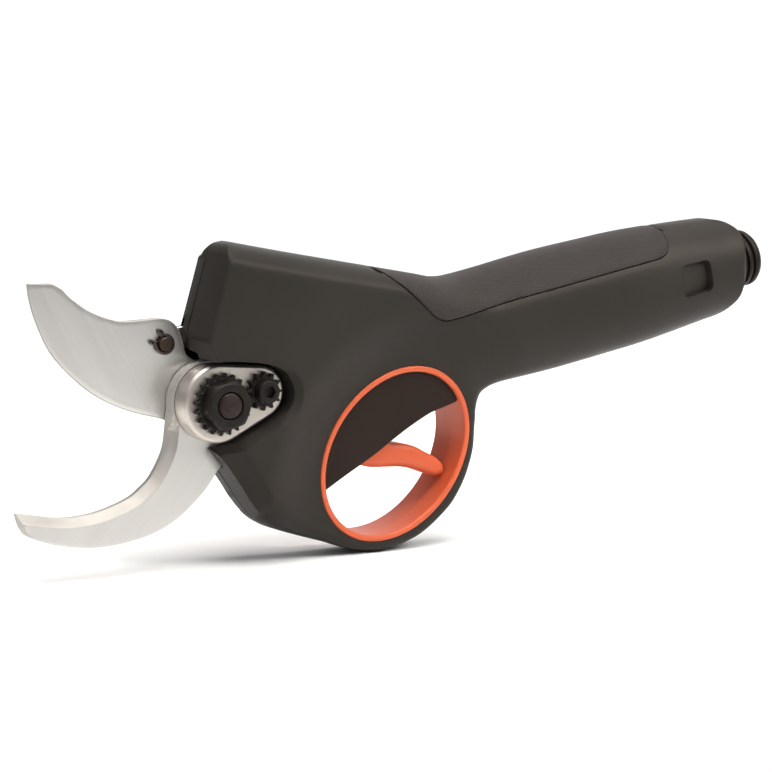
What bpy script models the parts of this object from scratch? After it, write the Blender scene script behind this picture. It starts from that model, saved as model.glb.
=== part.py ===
"""Battery electric pruner: head with bypass blades, finger ring and a straight handle.

Every dimension below is a design dimension in millimetres, on a datum at the middle of
the tool: X runs from the blades (-X) to the cable inlet (+X), Y is the thickness and the
parting plane of the casing is Y = 0, Z is up.  The left casing half is on -Y.
"""
import bpy
import bmesh
import math
import numpy as np
from mathutils import Vector, Matrix
from mathutils.geometry import delaunay_2d_cdt

for old in list(bpy.data.objects):
    bpy.data.objects.remove(old, do_unlink=True)

# ---------------------------------------------------------------- driving dimensions (mm)
DATUM = (-9.84, 1.5, 60.01)         # design datum to the part's own origin
GAP = 0.3                          # clearance between separate pieces

PIVOT = (-76.2, -0.5)              # blade pivot axis, along Y
BLADE_Y = (0.2, 4.2)               # cutting blade, near and far face
HOOK_Y = (0.1, 6.0)                # counter-blade, depth below the parting plane
PLATE_TOP = 14.2                   # front of the pivot plate
GEAR_MODULE = 1.04
NUT_TEETH, PINION_TEETH = 20, 12
PINION_ANGLE = 13.2                # direction from the pivot to the pinion, degrees
LINK_PIN = (-91.5, 20.4)           # pin that joins the link to the cutting blade
DRIVE_Z = 26.0                     # height of the screw drive's axis
ROD_PIN = (-45.0, DRIVE_Z)         # pin that joins the link to the push rod
SHELL = 2.4                        # casing wall
HEAD_H, HANDLE_H = 18.2, 17.5      # half thickness of head and handle
RING_C = (-1.8, -23.9)             # finger ring, centre
RING_A, RING_B = 35.5, 27.9        # finger ring, outer semi-axes
RING_TILT = 45.0
RING_RIM = 2.2
RING_H = 10.6                      # half depth of the finger ring
TRIGGER_PIVOT = (-15.0, -21.0)
PAD_T = 1.6                        # grip pad thickness
INLET = (156.4, 40.4)              # cable inlet, where its axis leaves the casing
INLET_TILT = 9.5
NECK_R = 10.2                      # hole for the inlet's neck in the rear wall
STEP = 7.4                         # mesh spacing of the casing


# ---------------------------------------------------------------- materials
def material(name, rgb, rough, metal):
    m = bpy.data.materials.new(name)
    m.use_nodes = True
    b = m.node_tree.nodes["Principled BSDF"]
    b.inputs["Base Color"].default_value = (*rgb, 1)
    b.inputs["Roughness"].default_value = rough
    b.inputs["Metallic"].default_value = metal
    m.diffuse_color = (*rgb, 1)
    return m


FINISH = {
    "casing": ((0.050, 0.047, 0.043), 0.42, 0.0),
    "rubber": ((0.040, 0.032, 0.029), 0.75, 0.0),
    "orange": ((0.95, 0.17, 0.055), 0.42, 0.0),
    "panel": ((0.055, 0.043, 0.040), 0.50, 0.0),
    "blade": ((0.60, 0.59, 0.57), 0.32, 1.0),
    "satin": ((0.66, 0.62, 0.57), 0.38, 1.0),
    "blackened": ((0.030, 0.026, 0.026), 0.40, 0.6),
    "steel": ((0.45, 0.45, 0.46), 0.35, 1.0),
    "board": ((0.02, 0.12, 0.05), 0.45, 0.0),
    "connector": ((0.020, 0.020, 0.020), 0.50, 0.0),
}


# ---------------------------------------------------------------- small helpers
def w(x, y, z):
    """Design millimetres to metres in the part's frame."""
    return ((x + DATUM[0]) / 1000, (y + DATUM[1]) / 1000, (z + DATUM[2]) / 1000)


def finish_object(name, bm, slot, pivot=None, smooth=35):
    """Mesh in design mm -> named object in metres, its origin on `pivot` (design mm)."""
    bmesh.ops.recalc_face_normals(bm, faces=bm.faces)
    if bm.calc_volume(signed=True) < 0:
        bmesh.ops.reverse_faces(bm, faces=bm.faces)
    org = Vector(w(*pivot)) if pivot else Vector((0, 0, 0))
    for v in bm.verts:
        v.co = Vector(w(*v.co)) - org
    me = bpy.data.meshes.new(name)
    bm.to_mesh(me)
    bm.free()
    me.shade_smooth()
    me.set_sharp_from_angle(angle=math.radians(smooth))
    ob = bpy.data.objects.new(name, me)
    ob.location = org
    bpy.context.scene.collection.objects.link(ob)
    rgb, rough, metal = FINISH[slot]
    me.materials.append(material(name + "_" + slot, rgb, rough, metal))
    return ob


def circle(c, r, n, a0=0.0):
    return [(c[0] + r * math.cos(a0 + 2 * math.pi * i / n),
             c[1] + r * math.sin(a0 + 2 * math.pi * i / n)) for i in range(n)]


def arc(c, r, a0, a1, n):
    return [(c[0] + r * math.cos(math.radians(a0 + (a1 - a0) * i / n)),
             c[1] + r * math.sin(math.radians(a0 + (a1 - a0) * i / n))) for i in range(n + 1)]


def polar(c, r, deg):
    return (c[0] + r * math.cos(math.radians(deg)), c[1] + r * math.sin(math.radians(deg)))


def ellipse(c, a, b, tilt, n):
    t = math.radians(tilt)
    out = []
    for i in range(n):
        u = 2 * math.pi * i / n
        p, q = a * math.cos(u), b * math.sin(u)
        out.append((c[0] + p * math.cos(t) - q * math.sin(t), c[1] + p * math.sin(t) + q * math.cos(t)))
    return out


def spline(pts, step):
    """Points about `step` apart on a smooth curve through `pts` (both ends kept)."""
    P = [np.array(p, float) for p in pts]
    if len(P) == 2:
        n = max(1, int(round(np.linalg.norm(P[1] - P[0]) / step)))
        return [tuple(P[0] + (P[1] - P[0]) * i / n) for i in range(n + 1)]
    Q = [2 * P[0] - P[1]] + P + [2 * P[-1] - P[-2]]
    dense = []
    for i in range(1, len(Q) - 2):
        p0, p1, p2, p3 = Q[i - 1:i + 3]
        for k in range(16):
            t = k / 16
            dense.append(0.5 * (2 * p1 + (p2 - p0) * t + (2 * p0 - 5 * p1 + 4 * p2 - p3) * t * t
                                + (3 * p1 - p0 - 3 * p2 + p3) * t ** 3))
    dense.append(P[-1])
    D = np.array(dense)
    s = np.r_[0, np.cumsum(np.linalg.norm(np.diff(D, axis=0), axis=1))]
    n = max(1, int(round(s[-1] / step)))
    u = np.linspace(0, s[-1], n + 1)
    return list(zip(np.interp(u, s, D[:, 0]), np.interp(u, s, D[:, 1])))


def chain(*paths):
    """Join open paths end to end into one closed outline."""
    out = []
    for p in paths:
        for q in p:
            if not out or math.dist(out[-1], q) > 0.02:
                out.append(tuple(q))
    if math.dist(out[0], out[-1]) < 0.02:
        out.pop()
    return out


def dist(pts, path, closed=False):
    """Distance of each point to a polyline."""
    pts = np.asarray(pts, float).reshape(-1, 2)
    A = np.asarray(path, float)
    B = np.roll(A, -1, axis=0) if closed else A[1:]
    A = A if closed else A[:-1]
    best = np.full(len(pts), 1e9)
    for a, b in zip(A, B):
        ab = b - a
        L = max(ab @ ab, 1e-12)
        t = np.clip(((pts - a) @ ab) / L, 0, 1)
        best = np.minimum(best, np.hypot(*(pts - a - t[:, None] * ab).T))
    return best


def inside(pts, poly):
    pts = np.asarray(pts, float).reshape(-1, 2)
    A = np.asarray(poly, float)
    B = np.roll(A, -1, axis=0)
    hit = np.zeros(len(pts), bool)
    for (x0, y0), (x1, y1) in zip(A, B):
        if y0 == y1:
            continue
        c = (pts[:, 1] < y0) != (pts[:, 1] < y1)
        hit ^= c & (pts[:, 0] < (x1 - x0) * (pts[:, 1] - y0) / (y1 - y0) + x0)
    return hit


def offset_path(path, t):
    """Open path moved `t` to its right-hand side."""
    P = np.asarray(path, float)
    T = np.gradient(P, axis=0)
    T /= np.linalg.norm(T, axis=1)[:, None]
    return [tuple(q) for q in P + t * np.c_[T[:, 1], -T[:, 0]]]


def sstep(a, b, v):
    t = np.clip((v - a) / (b - a), 0, 1)
    return t * t * (3 - 2 * t)


def quarter(t):
    t = np.clip(t, 0, 1)
    return np.sqrt(np.maximum(0, 1 - (1 - t) ** 2))


def triangulate(outline, holes, lines, step, offsets, extra=()):
    """Triangles over a flat region, with rows of points at `offsets` from its edges,
    the open `lines` kept as edges, single `extra` points, and a grid elsewhere."""
    loops = [outline] + list(holes)
    pts, edges = [], []
    for lp in loops:
        k = len(pts)
        pts += lp
        edges += [(k + i, k + (i + 1) % len(lp)) for i in range(len(lp))]
    for ln in lines:
        k = len(pts)
        pts += ln
        edges += [(k + i, k + i + 1) for i in range(len(ln) - 1)]
    P = np.array(pts)

    def region(q):
        ok = inside(q, outline)
        for h in holes:
            ok &= ~inside(q, h)
        return ok

    def far(q, base, d):
        out = np.ones(len(q), bool)
        for i in range(0, len(q), 400):
            out[i:i + 400] = (((q[i:i + 400, None] - base[None]) ** 2).sum(2).min(1) > d * d)
        return out

    edge_d = lambda q: np.min([dist(q, lp, True) for lp in loops], axis=0)
    for off in offsets:
        new = []
        for lp in loops:
            L = np.array(lp)
            T = np.roll(L, -1, axis=0) - np.roll(L, 1, axis=0)
            N = np.c_[-T[:, 1], T[:, 0]] / np.maximum(np.linalg.norm(T, axis=1), 1e-9)[:, None]
            for s in (1, -1):
                q = L + s * off * N
                q = q[region(q)]
                if len(q):
                    new.append(q[edge_d(q) > off * 0.93])
        if new:
            q = np.vstack(new)
            q = q[far(q, P, min(off * 0.85, step * 0.45))]
            P = np.vstack([P, q]) if len(q) else P
    if len(extra):
        q = np.array(extra)
        q = q[region(q)]
        q = q[far(q, P, 0.25)]
        P = np.vstack([P, q]) if len(q) else P
    lo, hi = np.min(outline, axis=0), np.max(outline, axis=0)
    grid = []
    row = 0
    z = lo[1]
    while z < hi[1]:
        xs = np.arange(lo[0] + (step / 2 if row % 2 else 0), hi[0], step)
        grid.append(np.c_[xs, np.full(len(xs), z)])
        z += step * 0.866
        row += 1
    q = np.vstack(grid)
    q = q[region(q)]
    q = q[edge_d(q) > step * 0.5]
    q = q[far(q, P, step * 0.62)]
    P = np.vstack([P, q]) if len(q) else P
    vs, es, fs, _, _, _ = delaunay_2d_cdt([Vector(p) for p in P.tolist()], edges, [], 0, 1e-6)
    V = np.array([tuple(v) for v in vs])
    F = np.array([f for f in fs if len(f) == 3])
    c = V[F].mean(axis=1)
    F = F[region(c)]
    a, b, d = V[F[:, 0]], V[F[:, 1]], V[F[:, 2]]
    area = (b[:, 0] - a[:, 0]) * (d[:, 1] - a[:, 1]) - (b[:, 1] - a[:, 1]) * (d[:, 0] - a[:, 0])
    F = F[np.abs(area) > 1e-5]
    area = area[np.abs(area) > 1e-5]
    F[area < 0] = F[area < 0][:, ::-1]
    return V, F


def field_mesh(V, F, outer, inner, side):
    """Closed mesh between the depths `inner` and `outer` (arrays, mm) on one side of Y = 0."""
    bm = bmesh.new()
    vo = [bm.verts.new((x, side * h, z)) for (x, z), h in zip(V, outer)]
    vi = [bm.verts.new((x, side * h, z)) for (x, z), h in zip(V, inner)]
    count = {}
    for a, b, c in F:
        bm.faces.new((vo[a], vo[b], vo[c]))
        bm.faces.new((vi[c], vi[b], vi[a]))
        for e in ((a, b), (b, c), (c, a)):
            k = tuple(sorted(e))
            count[k] = None if k in count else e
    for e in count.values():
        if e:
            a, b = e
            bm.faces.new((vo[b], vo[a], vi[a], vi[b]))
    loose = [v for v in bm.verts if not v.link_faces]
    bmesh.ops.delete(bm, geom=loose, context="VERTS")
    return bm


def slab(outline, holes, y0, y1, bm=None):
    """Prism over a flat outline with holes, from y0 to y1."""
    pts, edges = [], []
    for lp in [outline] + list(holes):
        k = len(pts)
        pts += lp
        edges += [(k + i, k + (i + 1) % len(lp)) for i in range(len(lp))]
    vs, es, fs, _, _, _ = delaunay_2d_cdt([Vector(p) for p in pts], edges, [], 0, 1e-6)
    V = np.array([tuple(v) for v in vs])
    F = np.array([f for f in fs if len(f) == 3])
    c = V[F].mean(axis=1)
    ok = inside(c, outline)
    for h in holes:
        ok &= ~inside(c, h)
    return field_mesh(V, F[ok], np.full(len(V), float(y1)), np.full(len(V), float(y0)), 1)


def stack(levels):
    """Stepped prism: levels are (y_start, y_end, outline, holes); consecutive levels share
    a plane, and each outline or hole is either the same as, or clear inside, its neighbour's."""
    bm = bmesh.new()
    table = {}

    def vert(x, y, z):
        k = (round(x, 4), round(y, 4), round(z, 4))
        if k not in table:
            table[k] = bm.verts.new((x, y, z))
        return table[k]

    for y0, y1, outline, holes in levels:
        for lp in [outline] + list(holes):
            for i in range(len(lp)):
                (xa, za), (xb, zb) = lp[i], lp[(i + 1) % len(lp)]
                bm.faces.new((vert(xa, y0, za), vert(xb, y0, zb), vert(xb, y1, zb), vert(xa, y1, za)))
    planes = [(levels[0][0], None, levels[0])]
    planes += [(a[1], a, b) for a, b in zip(levels[:-1], levels[1:])]
    planes.append((levels[-1][1], levels[-1], None))
    for y, la, lb in planes:
        seen, loops = set(), []
        for lv in (la, lb):
            if lv:
                for lp in [lv[2]] + list(lv[3]):
                    key = tuple((round(p[0], 4), round(p[1], 4)) for p in lp)
                    if key not in seen:
                        seen.add(key)
                        loops.append(lp)
        pts, edges = [], []
        for lp in loops:
            k = len(pts)
            pts += lp
            edges += [(k + i, k + (i + 1) % len(lp)) for i in range(len(lp))]
        vs, es, fs, _, _, _ = delaunay_2d_cdt([Vector(p) for p in pts], edges, [], 0, 1e-6)
        src = np.array(pts)
        V = np.array([src[((src - np.array(tuple(v))) ** 2).sum(1).argmin()] for v in vs])
        F = np.array([f for f in fs if len(f) == 3])
        c = V[F].mean(axis=1)

        def has(lv):
            if lv is None:
                return np.zeros(len(c), bool)
            ok = inside(c, lv[2])
            for h in lv[3]:
                ok &= ~inside(c, h)
            return ok
        for f in F[has(la) != has(lb)]:
            bm.faces.new([vert(V[i][0], y, V[i][1]) for i in f])
    return bm


def lathe(profile, n, start=(0, 0, 0), direction=(1, 0, 0), facets=None):
    """Turned solid: profile is (distance along the axis, radius); a closed loop when the
    first and last radii are equal and non-zero, otherwise both ends lie on the axis."""
    bm = bmesh.new()
    d = Vector(direction).normalized()
    side = Vector((0, 1, 0)) if abs(d.y) < 0.9 else Vector((1, 0, 0))
    e1 = d.cross(side).normalized()
    e2 = d.cross(e1).normalized()
    rows = []
    for s, r in profile:
        c = Vector(start) + d * s
        if r < 1e-6:
            rows.append([bm.verts.new(c)])
        else:
            rows.append([bm.verts.new(c + r * (math.cos(2 * math.pi * i / n) * e1
                                               + math.sin(2 * math.pi * i / n) * e2)) for i in range(n)])
    pairs = list(zip(rows[:-1], rows[1:]))
    if profile[0][1] > 1e-6:
        pairs.append((rows[-1], rows[0]))
    for a, b in pairs:
        for i in range(n):
            j = (i + 1) % n
            if len(a) == 1 and len(b) == 1:
                continue
            if len(a) == 1:
                bm.faces.new((a[0], b[i], b[j]))
            elif len(b) == 1:
                bm.faces.new((a[i], b[0], a[j]))
            else:
                bm.faces.new((a[i], b[i], b[j], a[j]))
    return bm


def rod(c, r, y0, y1, n=20, head=None):
    """Pin along Y from y0 to y1; head = (radius, thickness) sits beyond y1."""
    p = [(0, 0), (0, r), (y1 - y0, r)]
    if head:
        p += [(y1 - y0, head[0]), (y1 - y0 + head[1], head[0]), (y1 - y0 + head[1], 0)]
    else:
        p += [(y1 - y0, 0)]
    return lathe(p, n, start=(c[0], y0, c[1]), direction=(0, 1, 0))


def ring_bush(c, r0, r1, y0, y1, n=20):
    return slab(circle(c, r1, n), [circle(c, r0, n)], y0, y1)


def gear(c, teeth, module, phase, backlash=0.45, per=1):
    """Spur gear outline with straight-flanked teeth."""
    rp = teeth * module / 2
    ro, rr = rp + 0.72 * module, rp - 0.85 * module
    pitch = 2 * math.pi / teeth
    half = (math.pi * module / 2 - backlash) / 2 / rp
    out = []
    for k in range(teeth):
        a = phase + k * pitch
        for r, h in ((rr, half * 1.75), (rp, half), (ro, half * 0.52)):
            out.append((c[0] + r * math.cos(a - h), c[1] + r * math.sin(a - h)))
        for r, h in ((ro, half * 0.52), (rp, half), (rr, half * 1.75)):
            out.append((c[0] + r * math.cos(a + h), c[1] + r * math.sin(a + h)))
    return out


def regular(c, across, sides, a0=0.0):
    r = across / 2 / math.cos(math.pi / sides)
    return circle(c, r, sides, a0)


def hull2(c0, r0, c1, r1, n):
    """Outline of two circles wrapped by a band."""
    d = math.dist(c0, c1)
    a = math.degrees(math.atan2(c1[1] - c0[1], c1[0] - c0[0]))
    t = math.degrees(math.acos((r0 - r1) / d))
    return chain(arc(c0, r0, a + t, a + 360 - t, n), arc(c1, r1, a - t, a + t, n))


# ---------------------------------------------------------------- casing outline
TOP = [(-67.9, 55.9), (-44.4, 51.4), (-11.1, 45.4), (7.8, 42.0), (16.5, 40.3), (21.7, 39.8),
       (27.0, 40.1), (41.2, 43.0), (63.9, 47.9), (87.0, 51.8), (105.9, 54.7), (129.9, 57.1),
       (144.7, 58.3)]
REAR = [(144.7, 58.3), (150.4, 57.0), (154.4, 53.0), (156.4, 46.5), (156.8, 40.0), (156.2, 33.0),
        (154.0, 26.3), (149.6, 21.0), (143.6, 18.0)]
BOTTOM = [(143.6, 18.0), (116.0, 11.1), (93.0, 6.5), (70.7, 2.5), (48.7, -0.7), (42.5, -2.2)]
GUARD = [(42.5, -2.2), (38.0, -4.4), (35.2, -9.0), (34.3, -16.0), (33.6, -24.5), (31.0, -33.0),
         (27.4, -40.0), (22.0, -46.8), (11.2, -54.9), (0.6, -58.8), (-9.7, -60.0), (-19.9, -58.3),
         (-30.0, -54.9)]
BELLY = [(-30.0, -54.9), (-47.0, -49.6), (-54.0, -46.3), (-58.5, -42.5)]
LOW_FRONT = [(-58.5, -42.5), (-62.9, -37.0), (-66.5, -31.5), (-72.1, -23.5), (-77.3, -17.3)]
MOUTH_RIGHT = [(-77.3, -17.3), (-79.6, 0.0), (-81.2, 13.5), (-82.5, 22.8)]
NOTCH = [(-77.3, -17.3), (-71.0, -14.9), (-63.0, -11.1), (-56.5, -8.0), (-51.6, -4.9), (-49.0, -1.6),
         (-48.3, 2.4), (-49.6, 6.6), (-53.0, 10.3), (-59.5, 13.0), (-71.0, 14.5), (-81.0, 15.0)]
FRONT_LOW = [(-81.0, 15.0), (-82.5, 22.8)]
FRONT = [(-82.5, 22.8), (-78.7, 35.2), (-74.6, 49.0)]
FRONT_TOP = [(-74.6, 49.0), (-73.6, 52.8), (-71.4, 55.1), (-67.9, 55.9)]
PAD_EDGE = [(-11.0, 45.4), (-5.5, 40.5), (1.8, 34.2), (8.9, 28.4), (12.0, 26.2), (15.4, 24.9),
            (19.7, 25.1), (41.7, 30.3), (68.8, 35.6), (100.0, 41.7), (110.5, 43.7), (114.6, 44.8),
            (117.6, 46.6), (119.2, 49.0), (120.4, 51.6), (122.0, 54.2), (124.0, 56.5)]
PANEL_EDGE = [(-33.5, -37.2), (-23.1, -31.2), (-15.8, -27.2), (-9.1, -23.4), (-2.4, -19.1),
              (5.5, -14.4), (13.8, -10.2), (19.4, -8.4), (24.5, -6.8), (30.0, -5.0)]


def ring_out(v):
    """Distance outside the finger ring's rim, about, in mm (negative inside)."""
    t = math.radians(RING_TILT)
    x, z = v[:, 0] - RING_C[0], v[:, 1] - RING_C[1]
    p, q = x * math.cos(t) + z * math.sin(t), -x * math.sin(t) + z * math.cos(t)
    return (np.hypot(p / RING_A, q / RING_B) - 1) * (RING_A + RING_B) / 2


def above(v, path):
    """True where a point lies above a path that runs in +X."""
    P = np.array(path)
    return v[:, 1] > np.interp(v[:, 0], P[:, 0], P[:, 1])


def casing_depth(v, step, left=True, inset=0.0):
    """Depth of the casing's outer surface below or above the parting plane.
    `inset` moves the surface inwards by that much, as under the grip pad."""
    side = np.minimum(dist(v, spline(TOP, step)), dist(v, spline(BOTTOM, step)))
    side = np.minimum(side, np.minimum(dist(v, spline(GUARD, step)), dist(v, spline(BELLY, step))))
    side = np.minimum(side, np.minimum(dist(v, [TOP[0], (-82.0, 58.6)]), dist(v, spline([(144.7, 58.3), (175, 62.5)], step))))
    side = np.minimum(side, dist(v, spline([(143.6, 18.0), (175, 25.0)], step)))
    x, z = v[:, 0], v[:, 1]
    handle = sstep(0, 42, x) * sstep(-10, 8, z)
    guard = sstep(0, -14, z) * sstep(-48, -26, x)
    R = (9.0 + 11.0 * handle) * (1 - guard) + 4.0 * guard
    h0 = (3.5 - 2.7 * handle) * (1 - guard) + 5.6 * guard
    bump = 1.7 * np.exp(-((x + 60) / 30) ** 2 - ((z - 3) / 26) ** 2)
    H = HEAD_H + (HANDLE_H - HEAD_H) * sstep(-10, 45, x) + bump
    e = ring_out(v)
    H = 10.1 + (H - 10.1) * sstep(-1.0, 27.0, e)
    if inset:
        base = np.sqrt(np.maximum((R - inset) ** 2 - (R - np.minimum(side, R)) ** 2, 0)) / (R - inset)
        h = h0 + (H - inset - h0) * base
    else:
        h = h0 + (H - h0) * quarter(side / R)
    rear = dist(v, spline(REAR, step))
    h = np.minimum(h, 12.4 + (HANDLE_H - 12.4) * quarter(rear / 5.0) + 2.0 * (rear > 5))
    front = np.minimum(dist(v, spline(FRONT, step)), dist(v, spline(FRONT_TOP[:3], step)))
    front = np.minimum(front, dist(v, [FRONT_LOW[0], FRONT_LOW[1]]))
    h = np.minimum(h, 17.2 + 1.2 * np.minimum(front, 9))
    h = np.minimum(h, 11.6 + 1.15 * np.minimum(dist(v, spline(LOW_FRONT, step)), 12))
    if left:
        h = np.minimum(h, 17.2 + 1.0 * np.minimum(dist(v, spline(NOTCH, step)), 9))
    else:
        h = np.minimum(h, 15.0 + 1.4 * np.minimum(dist(v, spline(MOUTH_RIGHT, step)), 9))
    return h


# pocket moulded in the outside of the handle, near its end: it deepens towards the rear
POCKET = [(122.6, 41.0), (136.4, 43.4), (139.0, 31.0), (125.0, 28.2)]
SCREWS = [(-63.5, 44.5), (-28.0, 41.0), (-50.5, -39.0), (-39.5, -22.0), (50.0, 8.6), (101.0, 13.6),
          (137.5, 51.3)]
TANG_SCREWS = [(-52.5, -12.5), (-53.5, -20.8)]


def double_ring(c, r, n, width=0.25):
    return circle(c, r, n) + circle(c, r + width, n)


def casing_half(left, step, name):
    top = spline(TOP, step)
    xa, xb = PAD_EDGE[0][0], PAD_EDGE[-1][0]
    lowered = PAD_T + 0.75
    front_top = [p for p in top if p[0] < xa - 1.0] + [(xa - 0.9, float(np.interp(xa - 0.9, *zip(*top))))]
    mid = [p for p in top if xa + 1.5 < p[0] < xb - 1.5]
    mid = [(xa - 0.9, float(np.interp(xa, *zip(*top))))] + mid + [(xb + 0.9, float(np.interp(xb, *zip(*top))))]
    mid = offset_path(mid, lowered)
    mid[0] = (xa - 0.9, mid[0][1])
    mid[-1] = (xb + 0.9, mid[-1][1])
    rear_top = [(xb + 0.9, float(np.interp(xb + 0.9, *zip(*top))))] + [p for p in top if p[0] > xb + 1.6]
    paths = [front_top, mid, rear_top, spline(REAR, min(step, 2.3)), spline(BOTTOM, step), spline(GUARD, step),
             spline(BELLY, step), spline(LOW_FRONT, step)]
    if left:
        paths += [spline(NOTCH, min(step, 4.5)), spline(FRONT_LOW, step)]
    else:
        paths += [spline(MOUTH_RIGHT, step)]
    paths += [spline(FRONT, step), spline(FRONT_TOP, step * 0.8)]
    outline = chain(*paths)
    hole = ellipse(RING_C, RING_A + GAP, RING_B + GAP, RING_TILT, max(32, int(200 / step)))
    holes = [hole]
    extra = []
    pad_out = offset_path(spline(PAD_EDGE, min(step, 6)), 1.0)[1:-1]
    pad_in = offset_path(spline(PAD_EDGE, min(step, 6)), 0.62)[1:-1]
    lines = [pad_out, pad_in]
    nseg = 8
    for c in SCREWS:
        if left:
            extra += [c] + double_ring(c, 1.8, nseg) + circle(c, 4.2, nseg)
        else:
            holes.append(circle(c, 1.8, nseg))
            extra += double_ring(c, 3.5, nseg + 2) + circle(c, 5.0, nseg)
    if not left:
        holes.append(circle(PIVOT, 9.4, 20))
        for c in TANG_SCREWS:
            extra += [c] + double_ring(c, 1.8, nseg) + circle(c, 4.2, nseg)
    if left:
        for k in range(4):
            a, b = np.array(POCKET[k]), np.array(POCKET[(k + 1) % 4])
            cen = np.mean(POCKET, axis=0)
            m = max(2, int(np.linalg.norm(b - a) / step))
            for j in range(m):
                p = a + (b - a) * j / m
                q = p + (cen - p) / np.linalg.norm(cen - p) * 0.4
                extra += [tuple(p), tuple(q)]
    ti = math.radians(INLET_TILT)
    for sq in (-8.5, -5.0, -2.4):
        for q in (-10.3, -9.9, -8.6, -6.0, -2.5, 2.5, 6.0, 8.6, 9.9, 10.3):
            extra.append((INLET[0] + sq * math.cos(ti) - q * math.sin(ti), INLET[1] + sq * math.sin(ti) + q * math.cos(ti)))
    V, F = triangulate(outline, holes, lines, step, (0.45, SHELL + 0.2, SHELL + 0.55, 5.6), extra)
    outer = casing_depth(V, step, left)
    # below the grip pad the casing is lowered so that the pad lies flush
    padded = above(V, pad_in) & (V[:, 0] > xa - 0.91) & (V[:, 0] < xb + 0.91)
    padded |= dist(V, mid) < 0.01
    padded |= dist(V, pad_in) < 0.05
    low = casing_depth(V, step, left, inset=lowered)
    outer = np.where(padded, low, outer)
    edge = np.min([dist(V, lp, True) for lp in [outline, hole] + ([holes[-1]] if not left else [])], axis=0)
    if not left:
        edge = np.minimum(edge, dist(V, circle(PIVOT, 9.4, 28), True))
    rim = 0.15
    inner = np.where(edge < SHELL + 0.4, rim, np.maximum(outer - SHELL, rim))
    # the front of the head is open where blades and link leave it
    d_front = np.minimum(dist(V, spline(LOW_FRONT, step)), dist(V, [(-77.3, -17.3), (-82.5, 22.8)]))
    if left:
        near_notch = dist(V, spline(NOTCH, step)) < SHELL + 0.4
        hook_zone = (dist(V, spline(LOW_FRONT, step)) < SHELL + 0.4) & (V[:, 1] > -33.5)
        inner = np.where((near_notch | hook_zone) & (inner < 7), 6.7, inner)
    else:
        mouth = np.minimum(dist(V, spline(MOUTH_RIGHT, step)), dist(V, spline(LOW_FRONT, step)))
        mouth = np.minimum(mouth, dist(V, FRONT[:1] + [(-80.0, 31.0)]))
        zone = (mouth < SHELL + 0.5) & (V[:, 1] > -34) & (V[:, 1] < 31.5)
        inner = np.where(zone & (inner < 9.6), 9.6, inner)
        inner = np.where((dist(V, circle(PIVOT, 9.4, 28), True) < SHELL + 0.4), np.maximum(inner, 9.6), inner)
    # behind the trigger covers the finger ring is open towards the inside
    covers = (ring_out(V) < SHELL + 1.2) & above(V, PANEL_EDGE) & (V[:, 1] < 12) & (V[:, 0] < 26)
    inner = np.where(covers & (inner < 8.0), 8.0, inner)
    # the cable inlet's neck passes the rear wall
    t = math.radians(INLET_TILT)
    s = (V[:, 0] - INLET[0]) * math.cos(t) + (V[:, 1] - INLET[1]) * math.sin(t)
    q = -(V[:, 0] - INLET[0]) * math.sin(t) + (V[:, 1] - INLET[1]) * math.cos(t)
    neck = np.sqrt(np.maximum(NECK_R ** 2 - q ** 2, 0))
    inner = np.where((s > -9) & (inner < 11), np.maximum(inner, neck), inner)
    # bosses for the casing screws
    for c in SCREWS:
        r = np.hypot(V[:, 0] - c[0], V[:, 1] - c[1])
        if left:
            inner = np.where(r < 4.25, rim, inner)
            inner = np.where(r < 1.85, np.minimum(10.6, outer - 2.0), inner)
        else:
            inner = np.where(r < 5.05, rim, inner)
            seat = screw_seat(c)
            outer = np.where(r < 3.55, seat, outer)
    if not left:
        for c in TANG_SCREWS:
            r = np.hypot(V[:, 0] - c[0], V[:, 1] - c[1])
            inner = np.where(r < 4.25, rim, inner)
            inner = np.where(r < 1.85, 9.2, inner)
    else:
        hit = inside(V, POCKET)
        depth = 0.5 + 1.3 * np.clip((V[:, 0] - 123.0) / 14.0, 0, 1)
        edge_p = dist(V, POCKET, True)
        outer = np.where(hit & (edge_p > 0.15), outer - depth, outer)
        inner = np.where(inside(V, POCKET), np.minimum(inner, outer - 1.1), inner)
    inner = np.minimum(inner, outer - 0.6)
    bm = field_mesh(V, F, outer, inner, -1 if left else 1)
    return finish_object(name, bm, "casing")


def screw_seat(c):
    return float(casing_depth(np.array([c]), 4.0, False)[0]) - 4.6


casing_half(True, STEP, "housing_left")
casing_half(False, STEP, "housing_right")


# ---------------------------------------------------------------- casing screws (right side)
for i, c in enumerate(SCREWS):
    seat = screw_seat(c) + GAP
    reach = 8.6 if c[0] < 120 else 6.0
    p = [(0, 0), (0.6, 1.5), (reach + seat, 1.5), (reach + seat, 3.1), (reach + seat + 2.0, 3.1),
         (reach + seat + 2.4, 2.7), (reach + seat + 2.4, 1.5), (reach + seat + 1.0, 1.5), (reach + seat + 1.0, 0)]
    finish_object("housing_screw_%d" % (i + 1), lathe(p, 9, (c[0], -reach, c[1]), (0, 1, 0)), "blackened")


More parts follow.
